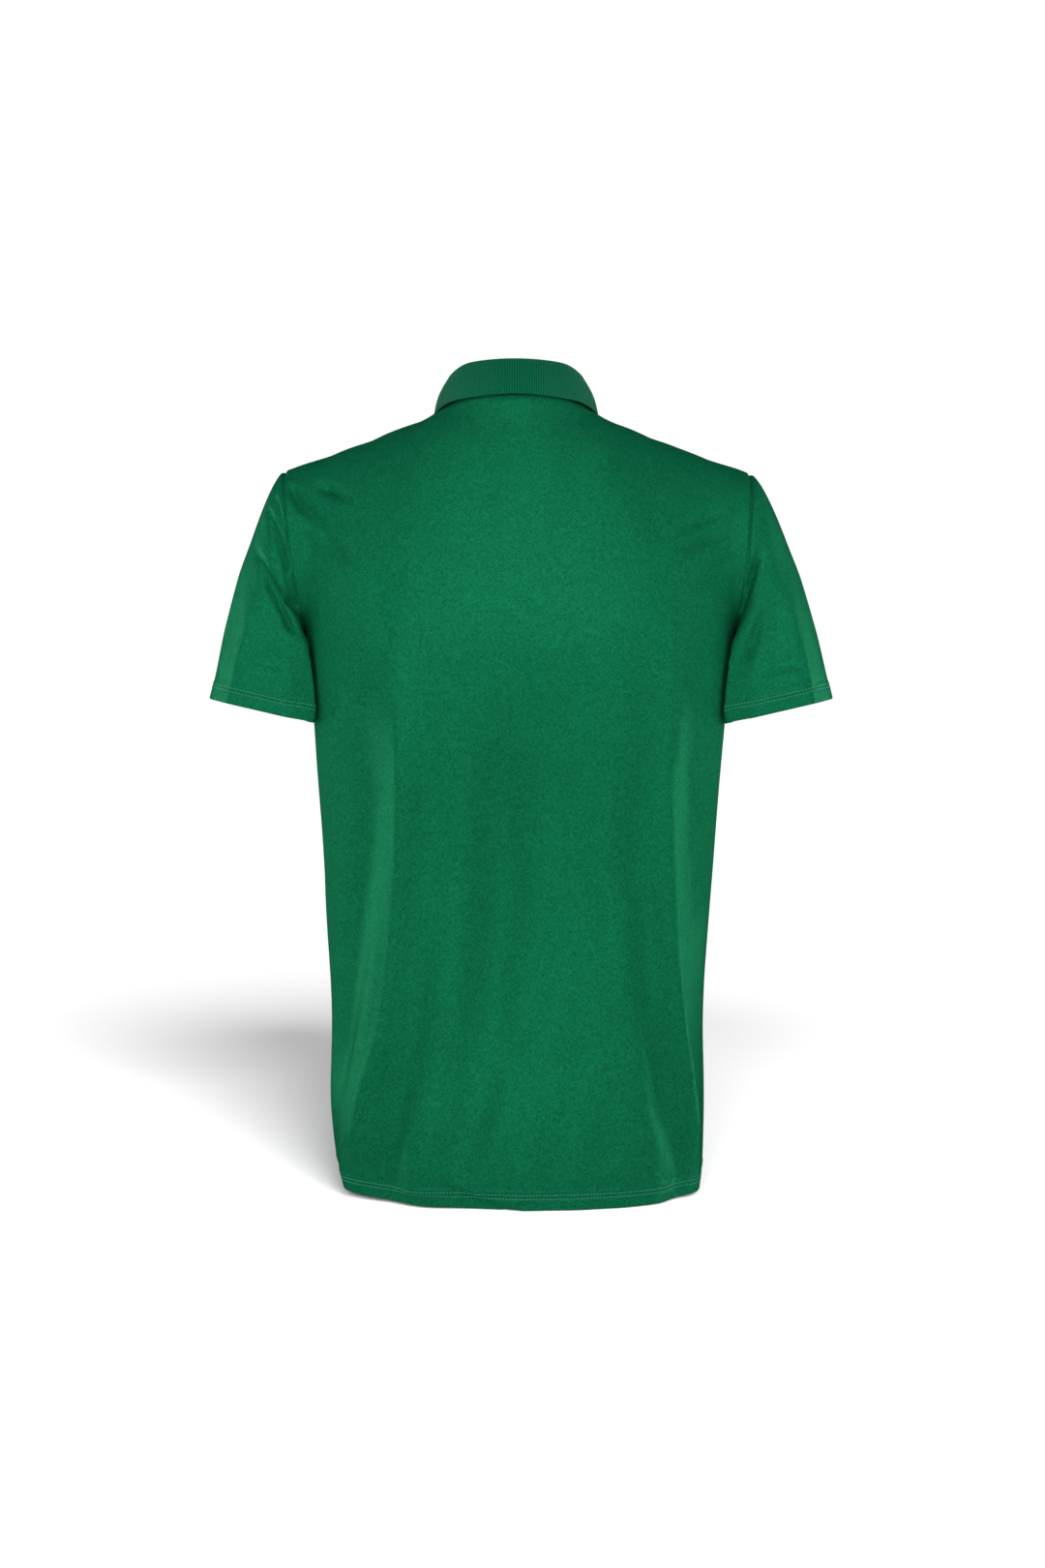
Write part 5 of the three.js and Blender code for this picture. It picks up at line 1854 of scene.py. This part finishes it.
@dataclass
class Placket:
    """The two strips of the placket and the stitches that hold them."""

    body: Body
    wardrobe: Wardrobe
    overlap: float = 1.2
    lift: float = 1.9
    thickness: float = 1.5
    under_overlap: float = -0.15
    under_thickness: float = 1.3
    stitch: Stitch = Stitch(2.7, 2.2, 0.26, 0.17)
    stitch_inset: float = 2.4
    foot_stitch: float = 19.0
    stitch_bite: float = 0.25
    row_pitch: float = 3.2
    flat: Pair = (0.036, 0.15)

    def strip(self, over: float, lift: float) -> Cloth:
        """Makes a strip of the front's surface down the placket.

        Args:
            over: How far it reaches past the slit.
            lift: How far it lies out from the front's surface.

        Returns:
            The strip, from its lower end up, with its normals.
        """
        front, columns = self.body.cloths[Side.FRONT], self.body.columns()
        half = self.body.form.placket_half
        first, last = len(self.body.height) - 1, len(front.points) - 1
        reach = 1 + over / half
        wanted = np.concatenate([
            -reach + np.array([0, 0.25, 0.6, 1.1, 1.8]) / half,
            np.linspace(-reach + 2.6 / half, reach - 2.6 / half, 13),
            reach - np.array([1.8, 1.1, 0.6, 0.25, 0]) / half,
        ])
        low = first - over / self.row_pitch
        rows = joined([low + k for k in (0, 0.08, 0.19, 0.34, 0.56)], np.arange(first + 0.4, last, 0.8), [last])
        column = np.interp(wanted, columns, np.arange(len(columns)))
        points, normals = (read_grid(v, rows[:, None], column[None]) for v in (front.points, front.normals))
        normals = unit(normals)
        return Cloth(points + normals * lift, normals=normals)

    def build(self) -> None:
        """Makes and dresses both strips."""
        self.top = self.strip(self.overlap, self.lift)
        for name, node, cloth, thickness in (
            ("placket_under_strip", "placket_under", self.strip(self.under_overlap, 0.0), self.under_thickness),
            ("placket_top_strip", "placket_top", self.top, self.thickness),
        ):
            edge = np.minimum(cloth.from_sides(), cloth.along())
            sink = roll = rolled(edge, thickness)
            if cloth is self.top:
                sink = np.maximum(roll, self.stitch_bite * bell(edge - self.stitch_inset, 0.7))
            piece = Wall(cloth, np.full(edge.shape, thickness), sink, lift_inside=roll).build(name)
            self.wardrobe.dress(piece, self.wardrobe.knit, "knit")
            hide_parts(node)

    def surface(self, across: Array, up: Array) -> tuple[Array, Array]:
        """Finds places on the top strip.

        Args:
            across: Distances from its middle, towards the wearer's left.
            up: Distances from its lower end.

        Returns:
            Points and normals.
        """
        cloth = self.top
        middle = cloth.points.shape[1] // 2
        along = cloth.along()[:, middle]
        widths = cloth.across()[cloth.points.shape[0] // 2]
        row = np.interp(up, along, np.arange(len(along)))
        column = np.interp(across, widths, np.arange(len(widths)))
        return read_grid(cloth.points, row, column), unit(read_grid(cloth.normals, row, column))

    def length(self) -> float:
        """Measures the top strip down its middle."""
        middle = self.top.points.shape[1] // 2
        return float(self.top.along()[-1, middle])

    def runs(self) -> Runs:
        """Makes the stitches along the strip's edges and across its foot."""
        inset = self.stitch_inset
        side = self.body.form.placket_half + self.overlap - inset
        up, across = np.linspace(inset, self.length() - 6, 90), np.linspace(-side, side, 30)
        lines = [(np.full(len(up), s * side), up) for s in (-1, 1)]
        lines += [(across, np.full(len(across), inset + foot)) for foot in (0.0, self.foot_stitch)]
        found = [self.surface(*line) for line in lines]
        return [self.stitch.run(path - normals * 0.2, normals) for path, normals in found]


@dataclass
class Buttons:
    """Three four-hole buttons, with their buttonholes and threads."""

    placket: Placket
    wardrobe: Wardrobe
    drops: tuple[float, ...] = (15.0, 65.0, 115.0)
    names: tuple[str, ...] = ("button_top", "button_middle", "button_bottom")
    radius: float = 5.75
    thickness: float = 2.2
    rim: float = 1.2
    dish: float = 0.5
    hole_radius: float = 0.85
    hole_spread: float = 1.5
    gap: float = 0.3
    sides: int = 48
    drill_sides: int = 20
    sharp_angle: float = math.radians(38)
    thread_radius: float = 0.24
    thread_shift: float = 0.22
    buttonhole: Pair = (14.5, 1.35)
    buttonhole_pitch: float = 0.55

    def turned(self, name: str) -> Object:
        """Turns a dished disc."""
        r, t, inner = self.radius, self.thickness, self.radius - self.rim
        profile = [
            (r - 1.2, 0), (r - 0.5, 0.12), (r - 0.12, 0.5), (r, 1.0), (r - 0.06, t - 0.65), (r - 0.28, t - 0.2),
            (r - 0.65, t), (inner + 0.1, t - 0.04), (inner - 0.3, t - 0.3), (inner - 0.7, t - self.dish),
            (r * 0.35, t - self.dish - 0.06),
        ]
        sides, last = self.sides, 1 + (len(profile) - 1) * self.sides
        turns = [2 * math.pi * k / sides for k in range(sides)]
        around = [(math.cos(turn), math.sin(turn)) for turn in turns]
        verts = [(0.0, 0.0, 0.0), *((radius * x, radius * y, z) for radius, z in profile for x, y in around)]
        verts.append((0.0, 0.0, t - self.dish - 0.08))
        faces = []
        for k in range(sides):
            n = (k + 1) % sides
            faces.append([0, 1 + n, 1 + k])
            faces += [[a + k, a + n, a + sides + n, a + sides + k] for a in range(1, last, sides)]
            faces.append([last + k, last + n, len(verts) - 1])
        return mesh_object(name, np.array(verts), faces)

    def drill(self, name: str) -> Object:
        """Makes the four rods that the sewing holes are cut with."""
        ring = self.drill_sides
        angle = 2 * np.pi * np.arange(ring) / ring
        verts, faces = [], []
        for hole, (x, y) in enumerate(((1, 1), (-1, 1), (-1, -1), (1, -1))):
            base = np.stack([
                x * self.hole_spread + self.hole_radius * np.cos(angle),
                y * self.hole_spread + self.hole_radius * np.sin(angle),
                np.full(ring, -2.0),
            ], axis=1)
            verts += [base, base + [0, 0, 3 * self.thickness]]
            first = 2 * ring * hole
            low, high = (list(range(start, start + ring)) for start in (first, first + ring))
            faces += [low[::-1], high]
            faces += [[low[k - 1], low[k], high[k], high[k - 1]] for k in (*range(1, ring), 0)]
        return mesh_object(name, np.concatenate(verts), faces)

    def disc(self, name: str, centre: Array, right: Array, normal: Array) -> Object:
        """Makes a button and lays it on the placket.

        Args:
            name: Name of the piece.
            centre: The middle of its back.
            right: Direction across the placket.
            normal: Direction out of it.

        Returns:
            The button.
        """
        disc, drill = self.turned(name), self.drill(name + "_drill")
        cut = disc.modifiers.new("holes", "BOOLEAN")
        cut.operation, cut.object, cut.solver = "DIFFERENCE", drill, "EXACT"
        solid = bpy.data.meshes.new_from_object(disc.evaluated_get(bpy.context.evaluated_depsgraph_get()))
        disc.modifiers.clear()
        disc.data = solid
        solid.set_sharp_from_angle(angle=self.sharp_angle)
        bpy.data.objects.remove(drill)
        axes = np.stack([right, np.cross(normal, right), normal], axis=1)
        turned = Matrix([(*row, 0.0) for row in axes] + [(0, 0, 0, 1)])
        solid.transform(Matrix.Translation(Vector(centre * METRES)) @ turned)
        return disc

    def sewn_on(self, top: Array, right: Array, normal: Array) -> Runs:
        """Makes the four threads that hold a button.

        Args:
            top: The middle of the dish.
            right: Direction across the placket.
            normal: Direction out of it.

        Returns:
            Points and faces of each thread.
        """
        s, up = self.hole_spread, np.cross(normal, right)
        stitch = Stitch(2 * s, 2 * s - 0.1, self.thread_radius, 0.12)
        bow = 0.5 * np.sin(np.pi * np.linspace(0, 1, 7)) - 0.25
        runs = []
        for x in (-s, s):
            for shift in (-self.thread_shift, self.thread_shift):
                path = np.array([top + right * (x + shift) + up * v for v in np.linspace(-s, s, 7)])
                runs.append(stitch.run(path + normal * bow[:, None], np.repeat(normal[None], 7, 0)))
        return runs

    def hole_stitches(self, up: float) -> Runs:
        """Makes the stitches on both sides of a buttonhole.

        Args:
            up: The middle of the buttonhole, from the strip's lower end.

        Returns:
            Points and faces of each stitch.
        """
        half_length, half_width = self.buttonhole[0] / 2, self.buttonhole[1]
        stitch = Stitch(half_width + 0.4, half_width + 0.2, self.thread_radius, 0.08)
        runs = []
        for side in (-1, 1):
            line = np.linspace(0.25, half_width + 0.55, 5) * side
            for v in np.arange(-half_length, half_length + 0.01, self.buttonhole_pitch):
                runs.append(stitch.run(*self.placket.surface(line, np.full(5, up + v))))
        return runs

    def build(self) -> None:
        """Makes the buttons, their buttonholes and the threads that hold them."""
        right = np.array([1.0, 0.0, 0.0])
        hole_runs, threads = [], []
        for name, drop in zip(self.names, self.drops):
            up = self.placket.length() - drop
            places, _ = self.placket.surface(np.zeros(3), np.array([up - 4, up, up + 4]))
            normal = unit(np.cross(right, unit(places[2] - places[0])))
            centre = places[1] + normal * self.gap
            piece = self.disc(name + "_disc", centre, right, normal)
            self.wardrobe.dress(piece, self.wardrobe.button, "button")
            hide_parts(name)
            threads += self.sewn_on(centre + normal * (self.thickness - self.dish - 0.1), right, normal)
            hole_runs += self.hole_stitches(up)
        for name, runs in (("buttonhole_stitching", hole_runs), ("button_threads", threads)):
            self.wardrobe.dress(join_runs(name, runs), self.wardrobe.thread, "knit")


# ---- studio


class Work(Enum):
    """What a lamp does for the cloth."""

    ALL = "all"
    SOFT = "soft"
    GLOSS = "gloss"


@dataclass(frozen=True)
class Softbox:
    """A broad lamp that lights the shirt and leaves the floor alone."""

    name: str
    place: Triple
    size: Pair
    watts: float
    work: Work = Work.ALL


@dataclass(frozen=True)
class FloorSun:
    """A soft sun that lights only the floor, where the shirt's shadow falls away from it.

    turn is counted in degrees from behind the shirt towards the wearer's right.
    """

    name: str
    turn: float
    elevation: float
    strength: float
    softness: float


@dataclass
class Studio:
    """The floor, the lights and the camera."""

    camera_place: Triple = (-0.0022, 2.0, -0.3325)
    lens: float = 50.8
    floor_gap: float = 0.0004
    floor_size: float = 60.0
    floor_colour: Shade = (0.76, 0.76, 0.76, 1.0)
    floor_glow: float = 0.02
    air: Pair = (0.11, 0.07)
    air_rise: Pair = (0.1, 0.6)
    backdrop: float = 1.05
    aim: Triple = (0.0, 0.0, -0.33)
    suns: tuple[FloorSun, ...] = (
        FloorSun("floor_key", 14.5, 19.0, 8.4, 23.0),
        FloorSun("floor_fill", -8.5, 18.5, 3.8, 16.0),
        FloorSun("floor_low", 5.0, 12.0, 2.0, 16.0),
    )
    boxes: tuple[Softbox, ...] = (
        Softbox("back_softbox", (0.0, 2.4, 0.56), (3.2, 1.5), 40.0),
        Softbox("front_softbox", (0.0, -2.4, 0.62), (3.2, 1.3), 40.0, Work.SOFT),
        Softbox("crown_softbox", (0.0, 1.3, 2.0), (1.8, 0.6), 12.0),
        Softbox("left_softbox", (2.2, 0.3, 0.1), (1.8, 1.4), 17.0, Work.SOFT),
        Softbox("right_softbox", (-2.2, 0.3, 0.1), (1.8, 1.4), 17.0, Work.SOFT),
        Softbox("left_strip", (2.06, -0.75, -0.35), (0.3, 1.8), 27.0, Work.GLOSS),
        Softbox("right_strip", (-2.06, -0.75, -0.35), (0.3, 1.8), 27.0, Work.GLOSS),
    )

    def build(self) -> None:
        """Makes the floor, the lights and the camera."""
        bpy.context.scene.view_settings.view_transform = "Standard"
        floor = self.lay_floor()
        self.fill_air()
        self.hang_suns(floor)
        self.hang_softboxes(floor)
        self.aim_camera()

    def lay_floor(self) -> Object:
        """Makes the floor just under the shirt."""
        half, z = self.floor_size / 2, CAD_BOX[0].z - self.floor_gap
        corners = np.array([(-half, -half, z), (half, -half, z), (half, half, z), (-half, half, z)]) / METRES
        floor = mesh_object("studio_floor", corners, [[0, 1, 2, 3]])
        floor.data.materials.append(FloorFinish("pale_floor", self.floor_colour, self.floor_glow).material())
        floor.visible_glossy = False
        return floor

    def hang_suns(self, floor: Object) -> None:
        """Makes the suns that light only the floor."""
        only_floor = bpy.data.collections.new("lit_by_suns")
        only_floor.objects.link(floor)
        for sun in self.suns:
            data = bpy.data.lights.new(sun.name, "SUN")
            data.energy, data.angle = sun.strength, math.radians(sun.softness)
            turn, rise = math.radians(sun.turn), math.radians(sun.elevation)
            level = math.cos(rise)
            towards = Vector((-math.sin(turn) * level, math.cos(turn) * level, math.sin(rise)))
            lamp = self.place(bpy.data.objects.new(sun.name, data), towards, towards)
            lamp.light_linking.receiver_collection = only_floor

    def hang_softboxes(self, floor: Object) -> None:
        """Makes the lamps that light everything but the floor."""
        not_floor = bpy.data.collections.new("unlit_by_softboxes")
        not_floor.objects.link(floor)
        not_floor.collection_objects[0].light_linking.link_state = "EXCLUDE"
        for box in self.boxes:
            data = bpy.data.lights.new(box.name, "AREA")
            data.shape, data.energy = "RECTANGLE", box.watts
            data.size, data.size_y = box.size
            spot = Vector(box.place)
            lamp = self.place(bpy.data.objects.new(box.name, data), spot, spot - Vector(self.aim))
            lamp.light_linking.receiver_collection = not_floor
            lamp.visible_diffuse = box.work is not Work.GLOSS
            lamp.visible_glossy = box.work is not Work.SOFT

    def place(self, item: Object, spot: Vector, away: Vector) -> Object:
        """Puts a lamp in the scene.

        Args:
            item: The lamp.
            spot: Where it hangs.
            away: Where its back is turned to.

        Returns:
            The lamp.
        """
        bpy.context.scene.collection.objects.link(item)
        item.location = spot
        item.rotation_mode = "QUATERNION"
        item.rotation_quaternion = away.to_track_quat("Z", "Y")
        return item

    def fill_air(self) -> None:
        """Makes the white surroundings, which give the most light from near the horizon."""
        world = bpy.data.worlds.new("studio_air")
        bpy.context.scene.world = world
        world.cycles_visibility.glossy = False
        world.use_nodes = True
        nodes = Nodes(world.node_tree)
        background = world.node_tree.nodes["Background"]
        direction = nodes.add("ShaderNodeTexCoord").outputs["Generated"]
        up = nodes.add("ShaderNodeSeparateXYZ", {0: direction}).outputs[2]
        level = nodes.span(up, self.air_rise, self.air)
        seen = nodes.add("ShaderNodeLightPath").outputs["Is Camera Ray"]
        unseen = nodes.times(level, nodes.less(1.0, seen))
        strength = nodes.math("ADD", unseen, nodes.times(seen, self.backdrop))
        nodes.fill(background, {"Color": WHITE, "Strength": strength})

    def aim_camera(self) -> None:
        """Makes the camera, level and straight behind the shirt."""
        data = bpy.data.cameras.new("studio_camera")
        data.lens, data.sensor_width, data.clip_end = self.lens, 36.0, 100.0
        camera = bpy.data.objects.new("studio_camera", data)
        camera.location = self.camera_place
        camera.rotation_euler = (math.pi / 2, 0.0, math.pi)
        bpy.context.scene.collection.objects.link(camera)
        bpy.context.scene.camera = camera


# ---- the shirt


def main() -> None:
    """Builds the shirt piece by piece."""
    logging.basicConfig(level=logging.INFO, format="%(name)s: %(message)s")
    Studio().build()
    wardrobe = Wardrobe()
    form = BodyForm()
    body = Body(form, wardrobe)
    share_normals(list(body.cloths.values()))
    left = SleeveForm(1, (235.0, -12.0, -265.3), 49.8)
    right = SleeveForm(-1, (237.0, -12.0, -265.3), 52.0)
    sleeves = [
        Sleeve("left", left, body.armhole_ring(True), wardrobe, 31, LEFT_SLEEVE_CREASES),
        Sleeve("right", right, body.armhole_ring(False), wardrobe, 43, RIGHT_SLEEVE_CREASES),
    ]
    collar = Collar(CollarForm(form), body, wardrobe)
    cloths = [*body.cloths.values(), *(sleeve.cloth for sleeve in sleeves), collar.cloth]
    for cloth in cloths:
        cloth.points = form.swayed(cloth.points)
    share_normals(cloths)
    body.crumple()
    for sleeve in sleeves:
        sleeve.crumple()
    share_normals(cloths)
    body.build()
    for sleeve in sleeves:
        sleeve.build()
    collar.build()
    placket = Placket(body, wardrobe)
    placket.build()
    for name, runs in (
        ("hem_stitching", body.hem_runs()),
        ("left_cuff_stitching", sleeves[0].cuff_runs()),
        ("right_cuff_stitching", sleeves[1].cuff_runs()),
        ("placket_stitching", placket.runs()),
    ):
        wardrobe.dress(join_runs(name, runs), wardrobe.thread, "knit")
    Buttons(placket, wardrobe).build()


if __name__ == "__main__":
    main()
